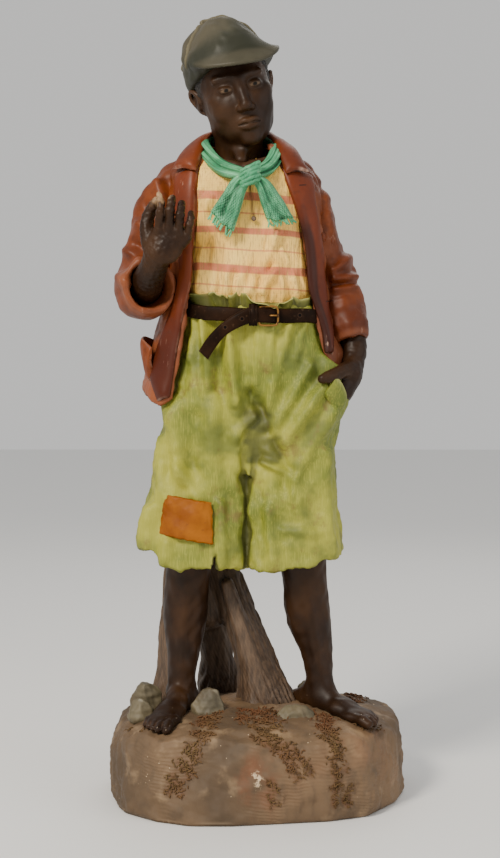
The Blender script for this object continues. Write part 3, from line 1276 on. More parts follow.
def makeScarf(paint):
    parts = []

    def bands(seed):
        # Rolls of cloth that run along the band and cross each other slowly
        def height(u, v):
            slip = u + 0.09 * np.sin(v * 5 + seed) + 0.04 * np.sin(v * 11 + seed)
            return 0.55 * np.abs(np.sin(slip * 6.4 + seed)) ** 0.8 + 0.1 * np.sin(slip * 19 + v * 6) - 0.3
        return height

    def lobes(seed):
        # The hanging ends: a deep channel between two soft lobes, and finer pleats on them
        def height(u, v):
            deep = -0.6 * np.exp(
                -(((u - 0.45 - 0.06 * np.sin(v * 6 + seed)) / 0.1) ** 2)
            ) * np.minimum(1.0, 1.6 * v + 0.3) * (1 - 0.4 * v)
            return deep + 0.17 * np.sin(
                u * 15 + seed + 0.9 * np.sin(v * 6)
            ) + 0.08 * np.sin(v * 24 + u * 9) * v
        return height

    for seed, edges in enumerate(scarf["loops"].values()):
        height = bands(0.6 + 1.4 * seed)
        points, faces, marks = ribbon(*edges, scarf["cloth"] * 1.25, 96, 44, 0.12, height)
        marks["hollow"] = np.clip(0.1 - height(marks["across"], marks["along"]) * 2.2, 0, 1)
        marks["along"] = marks["along"] * 0.5
        parts.append((points, faces, marks))
    for seed, edges in enumerate(scarf["ends"].values()):
        height = lobes(1.0 + seed)
        points, faces, marks = ribbon(*edges, scarf["cloth"], 80, 50, 0.35, height)
        marks["hollow"] = np.clip(-0.1 - height(marks["across"], marks["along"]) * 2.2, 0, 1)
        marks["along"] = marks["along"] * 0.5 + 0.5
        lift = 0.22 * np.sin(marks["across"] * 9 + seed) * eased(marks["along"], 0.8, 1.0)
        parts.append((points + np.column_stack([0 * lift, -0.6 * lift, lift]), faces, marks))
    points, faces, marks = joined(parts)
    scarfMesh = makePiece("scarf", points, faces, paint, marks)
    x, y, z = scarf["knot"]
    clay = Clay((x - 2.4, y - 2.1, z - 2.8), (x + 2.4, y + 1.9, z + 2.6), 0.09)
    clay.ball((x, y - 0.3, z), (1.15, 1.0, 1.4), soft=0.1)
    for turn in range(5):
        # The band wraps slantwise round the knot
        rise = -1.0 + 0.5 * turn
        deep = 1.15 * math.cos(rise * 0.75)
        wrap = [
            (x + 1.22 * math.sin(a), y - 0.4 - deep * math.cos(a), z + rise * 1.1 + 0.6 * math.sin(a), 0.27)
            for a in np.linspace(-1.7, 1.7, 10)
        ]
        clay.chain(wrap, 0.03)
    knot = clay.piece("scarf_knot", paint, lambda q: 0.04 * cloud(q, 0.5, 41), reach=0.35)
    return [scarfMesh, knot]


def startTree(name, sockets):
    # A node tree with a surface in and out and more sockets going in, and what adds nodes to it:
    # add takes the values or links of a node's sockets by name or number, then its settings
    tree = bpy.data.node_groups.new(name, "GeometryNodeTree")
    given = {"Geometry": "Geometry", **sockets}
    for label, kind in given.items():
        tree.interface.new_socket(label, in_out="INPUT", socket_type="NodeSocket" + kind)
    tree.interface.new_socket("Geometry", in_out="OUTPUT", socket_type="NodeSocketGeometry")

    def add(kind, feeds=None, settings=None):
        made = tree.nodes.new(kind)
        for key, value in (settings or {}).items():
            setattr(made, key, value)
        for key, value in (feeds or {}).items():
            if isinstance(value, bpy.types.NodeSocket):
                tree.links.new(value, made.inputs[key])
            else:
                made.inputs[key].default_value = value
        return made

    return tree, add, add("NodeGroupInput").outputs


def fringeTree():
    # Strands hung along an edge: every point of the edge carries one, bent a little to one side
    sockets = {
        "Strands": "Int", "Length": "Float", "Width": "Float", "Seed": "Int", "Drop": "Vector",
        "Cloth": "Material"
    }
    tree, add, given = startTree("fringeStrands", sockets)
    line = add("GeometryNodeMeshToCurve", {"Mesh": given["Geometry"]})
    spaced = add("GeometryNodeResampleCurve", {"Curve": line.outputs[0], "Count": given["Strands"]})
    bend = add(
        "FunctionNodeRandomValue", {0: (-0.5, -0.35, -0.15), 1: (0.5, 0.2, 0.15), "Seed": given["Seed"]},
        {"data_type": "FLOAT_VECTOR"}
    )
    blade = add(
        "GeometryNodeCurveQuadraticBezier",
        {"Resolution": 6, "Start": (0, 0, 0), "Middle": (0.12, 0.1, 0.5), "End": (-0.05, 0.0, 1.0)}
    )
    ring = add(
        "GeometryNodeCurvePrimitiveCircle", {"Resolution": 6, "Radius": given["Width"]}, {"mode": "RADIUS"}
    )
    longer = add("GeometryNodeTransform", {"Geometry": blade.outputs[0]})
    size = add("ShaderNodeCombineXYZ", {"X": given["Length"], "Y": given["Length"], "Z": given["Length"]})
    tree.links.new(size.outputs[0], longer.inputs["Scale"])
    solid = add(
        "GeometryNodeCurveToMesh",
        {"Curve": longer.outputs[0], "Profile Curve": ring.outputs[0], "Fill Caps": True}
    )
    heading = add("ShaderNodeVectorMath", {0: given["Drop"], 1: bend.outputs[0]}, {"operation": "ADD"})
    turn = add("FunctionNodeAlignRotationToVector", {"Vector": heading.outputs[0]}, {"axis": "Z"})
    points = add(
        "GeometryNodeInstanceOnPoints",
        {"Points": spaced.outputs[0], "Instance": solid.outputs[0], "Rotation": turn.outputs[0]}
    )
    real = add("GeometryNodeRealizeInstances", {"Geometry": points.outputs[0]})
    painted = add("GeometryNodeSetMaterial", {"Geometry": real.outputs[0], "Material": given["Cloth"]})
    add("NodeGroupOutput", {"Geometry": painted.outputs[0]})
    return tree


def runTree(name, carrier, tree, values):
    # The tree's result as a plain mesh
    modifier = carrier.modifiers.new(tree.name, "NODES")
    modifier.node_group = tree
    for item in tree.interface.items_tree:
        if item.in_out == "INPUT" and item.name in values:
            modifier[item.identifier] = values[item.name]
    graph = bpy.context.evaluated_depsgraph_get()
    mesh = bpy.data.meshes.new_from_object(carrier.evaluated_get(graph))
    bpy.data.objects.remove(carrier)
    mesh.polygons.foreach_set("use_smooth", [True] * len(mesh.polygons))
    return addPiece(name, mesh)


def makeFringe(paint):
    made, tree = [], fringeTree()
    for seed, (side, (first, second)) in enumerate(scarf["ends"].items()):
        first, second = np.array(first), np.array(second)
        inset = first[-1] * 0.93 + second[-1] * 0.07, first[-1] * 0.07 + second[-1] * 0.93
        drop = (first[-1] + second[-1] - first[-2] - second[-2]) / 2
        drop = drop / np.linalg.norm(drop)
        edge = bpy.data.meshes.new("edge")
        edge.from_pydata(toMetres(np.array(inset) - drop * 0.35).tolist(), [(0, 1)], [])
        carrier = addPiece("edge", edge)
        values = {
            "Strands": scarf["strands"], "Length": scarf["strandLength"], "Width": scarf["strandWidth"],
            "Seed": 3 + seed, "Drop": tuple(float(v) for v in drop), "Cloth": paint,
        }
        made.append(runTree(f"scarf_fringe_{side}", carrier, tree, values))
    return made


headCentre = Vector((-3.4, -0.3, 89.7))


def turned(lean, side, nod):
    # A turn made of a lean to one side, a look to the side and a nod, in degrees
    return (
        Matrix.Rotation(math.radians(lean), 3, "Y") @ Matrix.Rotation(math.radians(side), 3, "Z")
        @ Matrix.Rotation(math.radians(nod), 3, "X")
    )


headTurn = turned(-15, 8, 8)
capTurn = turned(-12, 14, 7) @ Matrix.Rotation(math.radians(5), 3, "Z")


def placeWith(turn, centre):
    matrix, origin = np.array(turn), np.array(centre)
    return lambda points: points @ matrix.T + origin


def inHead(point):
    return tuple(headTurn.transposed() @ (Vector(point) - headCentre))


earRim = (
    (5.0, -0.25, -0.5, 0.22), (5.4, -0.1, 0.5, 0.25), (5.85, 0.7, 1.15, 0.27), (6.0, 1.6, 0.8, 0.27),
    (5.85, 1.95, -0.3, 0.26), (5.4, 1.6, -1.3, 0.25), (4.95, 0.9, -2.1, 0.28), (4.7, 0.45, -2.4, 0.33),
)


def makeHead(paint):
    clay = Clay((-7.2, -9.0, -12.5), (7.2, 9.2, 9.2), 0.168)
    clay.ball((0, 0.7, 2.0), (5.25, 6.7, 6.4))
    clay.ball((0, -1.5, -2.2), (4.7, 4.9, 5.6), soft=1.6)
    clay.ball((0, -3.2, -5.7), (3.2, 2.9, 2.5), soft=1.6)
    for side in (-1, 1):
        clay.ball((2.6 * side, -0.9, -4.3), (1.25, 2.1, 1.8), soft=1.8)
        clay.ball((2.45 * side, -4.3, -2.5), (1.6, 1.5, 1.6), soft=1.6)
        clay.ball((3.3 * side, -3.7, -0.9), (1.1, 1.3, 0.7), soft=1.4)
        clay.bone((0.8 * side, -5.95, 1.5), (3.3 * side, -5.0, 1.6), 0.42, 0.3, 0.9)
        clay.ball((2.1 * side, -6.75, 0.1), (1.3, 1.0, 0.85), soft=0.8, carve=True)
    clay.ball((0, -4.6, -4.9), (2.2, 1.75, 1.7), soft=1.1)
    clay.ball((0, -5.4, -7.25), (1.25, 1.0, 0.95), soft=1.0)
    clay.bone((0, -5.9, 0.9), (0, -6.95, -2.2), 0.5, 0.62, 1.0)
    clay.ball((0, -7.1, -2.65), (0.8, 0.72, 0.68), soft=0.5)
    for side in (-1, 1):
        clay.ball((0.85 * side, -6.5, -2.95), (0.52, 0.62, 0.45), soft=0.4)
        clay.ball((0.42 * side, -6.95, -3.38), (0.22, 0.34, 0.2), soft=0.12, carve=True)
        clay.ball((2.1 * side, -5.2, 0.05), (1.15, 1.1, 0.7), soft=0.35)
        clay.ball((2.1 * side, -6.35, -0.02), (0.92, 0.8, 0.29), soft=0.08, carve=True)
        clay.ball((2.1 * side, -5.22, 0.05), (1.0, 1.0, 0.64), soft=0.0)
        clay.chain(
            [(0.0, -6.72, -4.68, 0.3), (0.7 * side, -6.6, -4.66, 0.33), (1.6 * side, -5.85, -5.0, 0.14)],
            0.3, count=6
        )
        clay.chain(
            [(0.0, -6.5, -5.5, 0.38), (0.7 * side, -6.4, -5.46, 0.36), (1.55 * side, -5.85, -5.08, 0.14)],
            0.3, count=6
        )
        clay.chain(
            [(0.0, -6.98, -5.1, 0.1), (0.7 * side, -6.85, -5.05, 0.1), (1.7 * side, -6.0, -5.04, 0.08)],
            0.12, carve=True, count=7
        )
        clay.bone((4.5 * side, 0.7, 0.5), (4.0 * side, 0.3, -2.1), 0.62, 0.5, 0.7)
        clay.ball((5.2 * side, 0.9, -0.5), (0.5, 1.15, 1.6), soft=0.4)
        clay.chain([(x * side, y, z, r) for x, y, z, r in earRim], 0.25, count=18)
        clay.ball((5.8 * side, 0.6, -0.45), (0.42, 0.55, 0.85), soft=0.25, carve=True)
        clay.ball((5.3 * side, -0.1, -0.75), (0.3, 0.3, 0.35), soft=0.2)
        clay.bone(inHead((-2.3, -4.3, 79.2)), (3.1 * side, 1.6, -4.3), 0.4, 0.7, 1.5)
    clay.ball((0, -7.25, -4.05), (0.18, 0.5, 0.4), soft=0.3, carve=True)
    clay.chain(
        [
            (*inHead((-2.6, 1.2, 76.5)), 3.9), (*inHead((-2.6, 0.8, 80.6)), 3.4),
            (*inHead((-2.9, 0.7, 84.5)), 3.3), (0, 1.4, -3.5, 3.5)
        ],
        0.9
    )
    made = clay.piece(
        "head", paint, lambda q: 0.03 * cloud(q, 1.6, 51), placeWith(headTurn, headCentre), reach=0.5
    )
    x, y, z = ((pointsOf(made) - np.array(headCentre)) @ np.array(headTurn)).T
    dx, dz = np.abs(x) - 2.1, z + 0.02
    addMark(made.data, "eye", eased(np.hypot(dx / 0.84, dz / 0.27), 1.05, 0.75) * (y < -5.6))
    addMark(made.data, "iris", eased(np.hypot(x - 2.1 * np.sign(x), dz - 0.03), 0.38, 0.28) * (y < -5.6))
    return made


def makeChest(paint):
    clay = Clay((-9.5, -7.8, 73.5), (5.5, 3.0, 82.0), 0.28)
    clay.ball((-2.4, -0.6, 75.4), (6.4, 6.2, 4.6))
    for side in (-1, 1):
        clay.bone((-2.3 + 0.7 * side, -5.6, 78.4), (-2.3 + 4.6 * side, -3.4, 79.6), 0.5, 0.5, 0.9)
    clay.ball((-2.3, -6.4, 79.2), (0.7, 0.7, 0.6), soft=0.7, carve=True)
    return clay.piece("chest", paint, lambda q: 0.04 * cloud(q, 2.0, 52))


def makeHair():
    clay = Clay((-7.0, -7.2, -6.4), (7.0, 9.0, 9.2), 0.2)
    clay.ball((0, 0.95, 1.9), (5.5, 6.75, 6.45))
    cut, x, y, z = clay.window()
    line = smoothRows(
        [
            (-8, 6.0), (-5, 4.6), (-3.4, 2.6), (-2.2, 1.2), (-1.4, -1.6), (-0.7, -1.5), (0.2, 0.9),
            (1.8, 0.6), (2.6, -2.4), (4.2, -4.4), (9, -4.8)
        ],
        y.ravel()
    )
    clay.merge(cut, z - line.reshape(1, -1, 1).astype(np.float32), 0.3, carve=True)
    return clay.piece(
        "hair", paintHair(), lambda q: 0.07 * cloud(q, 0.55, 55) + 0.05 * cloud(q, 0.33, 56),
        placeWith(headTurn, headCentre), reach=0.4
    )


cap = {
    "centre": (0.0, 0.9, 3.3), "radii": (6.4, 7.15, 7.15), "rimFront": 0.6, "rimBack": -5.0,
    "button": (-1.9, 2.0),
    "peakReach": 2.2, "peakDrop": 1.45, "peakSpread": 66, "peakThickness": 0.6, "across": 6.6,
    "seams": (-66, 52, 112, 172, -126),
}


def makeCap():
    cx, cy, cz = cap["centre"]
    rx, ry, rz = cap["radii"]
    clay = Clay((-7.6, -11.2, -2.6), (7.8, 9.2, 11.2), 0.19)
    clay.ball(cap["centre"], cap["radii"])
    clay.ball((cx + 0.3, cy - 1.5, cz + 0.2), (5.7, 5.6, 4.9), soft=1.6)
    cut, x, y, z = clay.window()
    rise = (cap["rimFront"] - cap["rimBack"]) / (2 * ry)
    rim = cz + (cap["rimFront"] + cap["rimBack"]) / 2 - (y - cy) * rise
    rim = rim + 0.35 * np.maximum(x - cx - 2.0, 0)
    clay.merge(cut, (z - rim) / math.hypot(1, rise), 0.5, carve=True)
    angle = np.degrees(np.arctan2(x - cx, -(y - cy)))
    away = np.sqrt((x - cx) ** 2 + (y - cy) ** 2)
    edge = 1 / np.sqrt((np.sin(np.radians(angle)) / rx) ** 2 + (np.cos(np.radians(angle)) / ry) ** 2)
    share = np.clip(np.abs(angle) / cap["peakSpread"], 0, 1)
    jut = np.maximum(1 - share**2, 0) ** 0.75
    innerR, innerZ = edge - 1.5, cz + 3.6 - 2.4 * share**2
    lift = eased(angle, 5, 55)
    outerR, outerZ = edge + cap["peakReach"] * jut + 0.02, cz + 1.2 - cap["peakDrop"] * jut + lift
    runR, runZ = outerR - innerR, outerZ - innerZ
    t = np.clip(((away - innerR) * runR + (z - innerZ) * runZ) / (runR**2 + runZ**2), 0, 1)
    sag = 0.22 * np.sin(t * math.pi)
    distance = np.sqrt(
        (away - innerR - runR * t) ** 2 + (z - innerZ - runZ * t - sag) ** 2
    ) - cap["peakThickness"] / 2
    distance = np.maximum(distance, (np.abs(angle) - cap["peakSpread"]) * math.pi / 180 * 6.5)
    clay.merge(cut, distance, 1.9)
    bx, by = cap["button"]
    crown = cz + rz * math.sqrt(1 - ((bx - cx) / rx) ** 2 - ((by - cy) / ry) ** 2)
    clay.ball((bx, by, crown), (0.7, 0.7, 0.34), soft=0.2)
    seamAt = {}

    def relief(points):
        x, y, z = points.T
        across, back, up = (x - bx) / rx, (y - by) / ry, (z - cz) / rz
        turn = np.degrees(np.arctan2(across, -back))
        flat = np.hypot(across, back)
        away = np.min([np.abs(np.mod(turn - seam + 180, 360) - 180) for seam in cap["seams"]], axis=0)
        away = away * math.pi / 180 * flat * cap["across"]
        line = np.exp(-((away / 0.2) ** 2)) * eased(up, 0.02, 0.12) * eased(flat, 1.3, 1.1)
        lip = np.exp(-(((z - (cz + 1.75)) / 0.22) ** 2)) * eased(np.abs(turn - 30), 34, 16)
        lip = lip * eased(flat, 1.18, 1.1) * (y < cy)
        seamAt["seam"] = np.clip(np.maximum(line, 0.4 * lip), 0, 1)
        dents = 0.22 * cloud(points, 6.5, 61) * eased(up, 0.0, 0.4) + 0.07 * cloud(points, 2.0, 62)
        hollowed = -0.35 * np.exp(-((away / 1.1) ** 2)) * eased(up, 0.1, 0.4)
        return 0.34 * line + hollowed + 0.08 * lip + dents * eased(flat, 1.25, 1.0)

    def place(points):
        # The crown falls away to the side that the head leans from
        drop = 0.17 * np.maximum(points[:, 0] - 0.2, 0) ** 1.35 * eased(points[:, 2], cz + 1.0, cz + 4.5)
        return placeWith(capTurn, headCentre)(points - np.column_stack([0 * drop, 0 * drop, drop]))

    made = clay.piece("cap", paintCap(), relief, place)
    addMark(made.data, "seam", seamAt["seam"])
    return made


hand = {
    "arm": [
        (-15.9, -2.0, 61.2, 2.2), (-15.3, -6.0, 62.4, 2.0), (-14.3, -8.7, 64.2, 1.72),
        (-13.6, -9.9, 65.9, 1.75)
    ],
    "fingers": {
        # knuckle, middle joint, last joint and tip, each with its radius
        "index": [
            (-13.4, -11.0, 69.2, 0.78), (-13.2, -11.8, 71.3, 0.66), (-13.1, -11.4, 72.6, 0.56),
            (-13.45, -10.9, 73.9, 0.36)
        ],
        "middle": [
            (-12.05, -11.2, 69.4, 0.8), (-11.9, -12.1, 71.6, 0.68), (-11.75, -11.6, 72.6, 0.62),
            (-11.65, -10.7, 73.3, 0.54)
        ],
        "ring": [
            (-10.8, -11.1, 68.9, 0.76), (-10.5, -12.0, 71.0, 0.66), (-10.4, -11.6, 71.9, 0.6),
            (-10.35, -10.7, 72.6, 0.52)
        ],
        "little": [
            (-9.7, -10.8, 68.0, 0.68), (-9.25, -11.5, 69.7, 0.56), (-9.1, -11.2, 70.6, 0.52),
            (-9.1, -10.4, 71.3, 0.44)
        ],
    },
    "thumb": [
        (-14.6, -9.6, 66.4, 1.1), (-15.2, -9.3, 68.6, 0.88), (-15.1, -9.0, 70.8, 0.78),
        (-14.4, -9.3, 72.3, 0.66), (-13.8, -9.7, 73.1, 0.56)
    ],
}


def makeRaisedHand(paint):
    clay = Clay((-18.6, -13.6, 58.6), (-7.6, 0.6, 75.6), 0.135)
    clay.chain(hand["arm"], 0.6, count=9)
    heel = Vector((-12.6, -10.3, 67.2))
    lean = Matrix.Rotation(math.radians(-8), 3, "Y") @ Matrix.Rotation(math.radians(-14), 3, "X")
    clay.ball(heel, (2.45, 1.15, 2.9), lean, 1.0)
    clay.ball((-11.7, -10.6, 68.2), (2.45, 0.95, 1.7), lean, 0.9)
    clay.ball((-14.0, -9.5, 67.0), (1.1, 1.1, 1.9), soft=0.9)
    for rows in hand["fingers"].values():
        knuckle, middle, last, tip = (np.array(row) for row in rows)
        wrist = np.array((-13.3 + 0.35 * (knuckle[0] + 12), -10.4, 65.6))
        clay.bone(wrist, knuckle[:3] - (0, -0.1, 0.3), 0.4, 0.5, 0.7)
        clay.ball(knuckle[:3], (knuckle[3] * 0.9,) * 3, soft=0.5)
        clay.bone(knuckle, middle, knuckle[3] * 0.88, middle[3] * 0.9, 0.12)
        clay.ball(middle[:3], (middle[3] * 1.04,) * 3, soft=0.08)
        clay.bone(middle, last, middle[3] * 0.9, last[3] * 0.92, 0.06)
        clay.bone(last, tip, last[3] * 0.92, tip[3], 0.06)
        nail = (last * 0.35 + tip * 0.65)[:3] + np.array((0, -1, 0)) * tip[3] * 0.62
        clay.ball(nail, (tip[3] * 0.6, tip[3] * 0.6, tip[3] * 0.8), None, 0.02)
    clay.chain(hand["thumb"], 0.4, count=12)
    made = clay.piece(
        "raised_hand", paint, lambda q: 0.03 * cloud(q, 0.9, 71) + 0.02 * cloud(q, 0.45, 73), reach=0.4
    )
    points = pointsOf(made)
    tip = np.array(hand["fingers"]["index"][3][:3])
    worn = 0.85 * eased(np.linalg.norm(points - tip, axis=1) + 0.3 * cloud(points, 0.6, 72), 2.2, 0.6)
    addMark(made.data, "worn", worn)
    return made


def makePocketHand(paint):
    clay = Clay((7.2, -8.8, 43.5), (16.8, 3.2, 57.5), 0.16)
    clay.chain([(13.2, 0.6, 56.5, 1.8), (13.9, -0.9, 52.8, 1.6), (13.7, -1.5, 51.0, 1.55)], 0.6, count=6)
    clay.ball((13.3, -2.2, 49.4), (1.7, 2.4, 2.4), soft=1.0)
    clay.ball((12.0, -2.8, 47.2), (1.8, 2.3, 2.2), soft=1.0)
    for offset in (-1.5, -0.4, 0.7, 1.7):
        clay.bone((13.9, -2.0 + offset, 49.5), (10.9, -2.4 + offset, 46.6), 0.72, 0.7, 0.35)
    clay.chain(
        [(13.4, -3.2, 50.2, 1.0), (12.0, -5.0, 49.7, 0.88), (10.6, -6.4, 49.1, 0.8), (9.1, -7.3, 48.6, 0.7)],
        0.5, count=8
    )
    clay.ball((8.85, -7.55, 48.75), (0.42, 0.4, 0.3), soft=0.1)
    return clay.piece("pocket_hand", paint, lambda q: 0.03 * cloud(q, 1.0, 75), reach=0.5)


legs = {
    "left": {
        "path": [
            (-11.1, -0.6, 2.6, 1.75), (-11.0, -0.7, 5.4, 1.8), (-10.75, 0.1, 9.0, 2.2),
            (-10.5, 0.9, 14.5, 3.05), (-10.2, 0.3, 19.0, 2.95),
            (-9.8, -0.1, 22.5, 3.15), (-9.6, -0.2, 27.0, 3.4),
        ],
        "heel": (-9.9, 2.3, 0.75), "heading": (-0.30, -0.95, -0.075), "inner": 1,
    },
    "right": {
        "path": [
            (9.0, -0.7, 2.6, 1.75), (9.0, -0.5, 5.4, 1.8), (8.6, 0.3, 9.0, 2.15), (7.3, 0.9, 14.5, 3.1),
            (6.9, 0.4, 19.0, 3.0), (6.6, 0.1, 22.5, 3.2), (6.2, 0.0, 27.0, 3.4),
        ],
        "heel": (6.0, 2.0, 0.95), "heading": (0.735, -0.67, -0.085), "inner": -1,
    },
}
footStations = (
    (0.7, 1.3, 1.2, 1.3), (2.6, 1.75, 1.9, 1.9), (5.2, 1.85, 2.2, 2.2), (8.2, 2.25, 1.55, 1.5),
    (11.0, 2.55, 1.05, 1.0)
)
toes = ((-1.75, 15.0, 0.8), (-0.55, 15.1, 0.58), (0.4, 14.6, 0.54), (1.25, 14.0, 0.5), (2.0, 13.3, 0.46))


def makeLegs(paint):
    made = []
    for side, facts in legs.items():
        heel, heading = np.array(facts["heel"]), np.array(facts["heading"])
        heading = heading / np.linalg.norm(heading)
        across = np.cross((0, 0, 1), heading)
        across /= np.linalg.norm(across)
        up = np.cross(heading, across)
        ends = [heel, heel + heading * 15.4, np.array(facts["path"][0][:3]), np.array(facts["path"][-1][:3])]
        clay = Clay(np.min(ends, axis=0) - 4.2, np.max(ends, axis=0) + 4.2, 0.21)
        clay.chain(facts["path"], 0.8, count=12)
        shin = np.array(facts["path"][4][:3])
        clay.bone(
            (shin[0], shin[1] - 2.5, shin[2]), (facts["path"][1][0], facts["path"][1][1] - 1.2, 6.0), 0.5,
            0.5, 1.0
        )
        for out in (-1, 1):
            clay.ball(
                (
                    facts["path"][0][0] + 1.6 * out, facts["path"][0][1] + 0.2,
                    3.6 + 0.3 * out * facts["inner"]
                ),
                (0.6, 0.8, 0.8), soft=0.7
            )
        turn = Matrix((across, heading, up)).transposed()
        for station, wide, tall, middle in footStations:
            clay.ball(heel + heading * station + (0, 0, middle * 0.8), (wide, 2.2, tall), turn, 1.1)
        for offset, reach, radius in toes:
            sideways = -across * offset * facts["inner"]
            a = heel + heading * 11.2 + sideways * 0.92 + (0, 0, 0.85)
            b = heel + heading * (reach - 1.5) + sideways + (0, 0, 0.95)
            c = heel + heading * (reach - 0.5) + sideways + (0, 0, 0.55)
            clay.bone(a, b, radius * 0.9, radius * 0.85, 0.3)
            clay.bone(b, c, radius * 0.95, radius * 0.85, 0.12)
            clay.ball(
                c + heading * radius * 0.35 + (0, 0, radius * 0.62),
                (radius * 0.55, radius * 0.5, radius * 0.2), turn, 0.04
            )
        made.append(clay.piece(f"leg_{side}", paint, lambda q: 0.04 * cloud(q, 1.8, 81), reach=0.5))
    return made


stump = {
    "post": [(-12.6, 5.0, -2, 3.2), (-12.3, 5.2, 8, 2.6), (-11.0, 6.2, 20, 3.1)],
    "root": [(2.6, 1.6, -2, 4.6), (1.2, 2.2, 3, 3.7), (-0.4, 3.2, 8, 3.0), (-5.2, 6.0, 20, 2.9)],
    "heel": [(-5.4, 12.6, -2, 3.2), (-6.2, 10.4, 8, 2.5), (-7.8, 8.2, 20, 2.7)],
    "trunk": [(-7.8, 7.0, 15, 4.2), (-8.0, 7.4, 24, 4.5), (-7.6, 7.5, 36.5, 3.9)],
    "stub": [(1.6, 0.2, 0.0, 2.6), (-1.3, 0.6, 9.5, 1.8), (-4.3, 1.5, 18.2, 1.15)],
    "cuts": 7, "cutDepth": 0.2,
}


def makeStump(paint):
    clay = Clay((-17.5, -4.5, -2.6), (9.5, 17.0, 41.0), 0.3)
    grid = clay.window()[1:]
    for seed, name in enumerate(("post", "root", "heel", "trunk", "stub")):
        limb = Clay(clay.low, clay.low + (np.array(clay.field.shape) - 1) * clay.step, clay.step)
        limb.field = np.full(clay.field.shape, 30.0, np.float32)
        rows = stump[name]
        limb.chain(rows, 0.6, count=8)
        start, end = np.array(rows[0][:3]), np.array(rows[-1][:3])
        ahead = (end - start) / np.linalg.norm(end - start)
        rng = np.random.default_rng(200 + seed)
        for turn in np.linspace(0, 360, stump["cuts"], endpoint=False) + rng.uniform(-14, 14, stump["cuts"]):
            out = np.array((math.sin(math.radians(turn)), -math.cos(math.radians(turn)), 0))
            out = out - ahead * (out @ ahead)
            out /= np.linalg.norm(out)
            # the plane follows the limb's taper
            slope = (rows[-1][3] - rows[0][3]) / np.linalg.norm(end - start)
            radius = rows[0][3] + slope * beyond(grid, start, ahead)
            plane = beyond(grid, start, out) - radius * (1 - stump["cutDepth"] * rng.uniform(0.5, 1.0))
            limb.field = -softMin(-limb.field, -plane, 0.25)
        clay.field = softMin(clay.field, limb.field, 0.7)

    def relief(points):
        x, y, z = points.T
        lean = x + 0.42 * (z - 8) * eased(x, -4, 2) + 0.3 * y
        grooves = -np.exp(-((np.sin(lean * 0.9 + 0.5 * np.sin(z * 0.15)) / 0.16) ** 2))
        grooves = grooves * eased(cloud(points * (1, 1, 0.15), 5, 93), -0.6, 0.6)
        skirt = np.abs(np.sin(lean * 4.2 + 0.8 * np.sin(z))) * eased(z, 6.5, 1.5) * 0.7
        return (
            0.3 * grooves + skirt + 0.08 * cloud(points * (1, 1, 0.3), 2.2, 91)
            + 0.04 * cloud(points, 0.9, 92)
        )

    return clay.piece("stump", paint, relief)


stones = {
    "left": ((-16.0, -0.6, 2.0), (2.5, 2.5, 3.6), 6), "leftLow": ((-16.9, -3.0, 0.8), (2.0, 2.2, 2.3), -20),
    "middle": ((-7.0, -4.4, 1.9), (2.5, 2.0, 3.0), 5), "right": ((5.1, -6.6, 0.9), (3.2, 2.2, 2.0), -14),
    "back": ((8.5, 9.5, 0.9), (3.4, 2.8, 2.2), 30),
}
stoneCuts, stoneCutDepth = 18, 0.36


def makeStones(paint):
    made = []
    for seed, (name, (centre, radii, lean)) in enumerate(stones.items()):
        clay = Clay(np.subtract(centre, max(radii) + 0.6), np.add(centre, max(radii) + 0.6), 0.19)
        clay.ball(centre, radii, Matrix.Rotation(math.radians(lean), 3, "Y"))
        cut, *grid = clay.window()
        rng = np.random.default_rng(100 + seed)
        for _ in range(stoneCuts):
            # a flat face split off the rounded rock
            n = rng.normal(size=3)
            n /= np.linalg.norm(n)
            n[2] = abs(n[2])
            support = math.sqrt(sum((r * v) ** 2 for r, v in zip(radii, n)))
            plane = beyond(grid, centre, n) - support * (1 - stoneCutDepth * rng.uniform(0.4, 1.0))
            clay.merge(cut, -plane, 0.14, carve=True)
        made.append(clay.piece(f"stone_{name}", paint, lambda q: 0.07 * cloud(q, 1.1, 95)))
    return made


mound = {
    "outline": (
        (-0.485, -0.07), (-0.445, -0.31), (-0.285, -0.49), (-0.13, -0.515), (0.04, -0.48), (0.225, -0.44),
        (0.355, -0.37), (0.455, -0.18), (0.49, -0.07), (0.505, 0.14), (0.49, 0.33), (0.355, 0.45),
        (0.09, 0.485), (-0.18, 0.475), (-0.385, 0.38), (-0.50, 0.18),
    ),
    "width": 0.338, "depth": 0.280, "setBack": 0.0028, "tall": 9.0, "cuts": 54,
    "profile": (
        (0.0, 0.975), (0.10, 1.0), (0.48, 1.0), (0.72, 0.978), (0.91, 0.93), (1.0, 0.80), (1.07, 0.55),
        (1.13, 0.28), (1.15, 0.10)
    ),
}


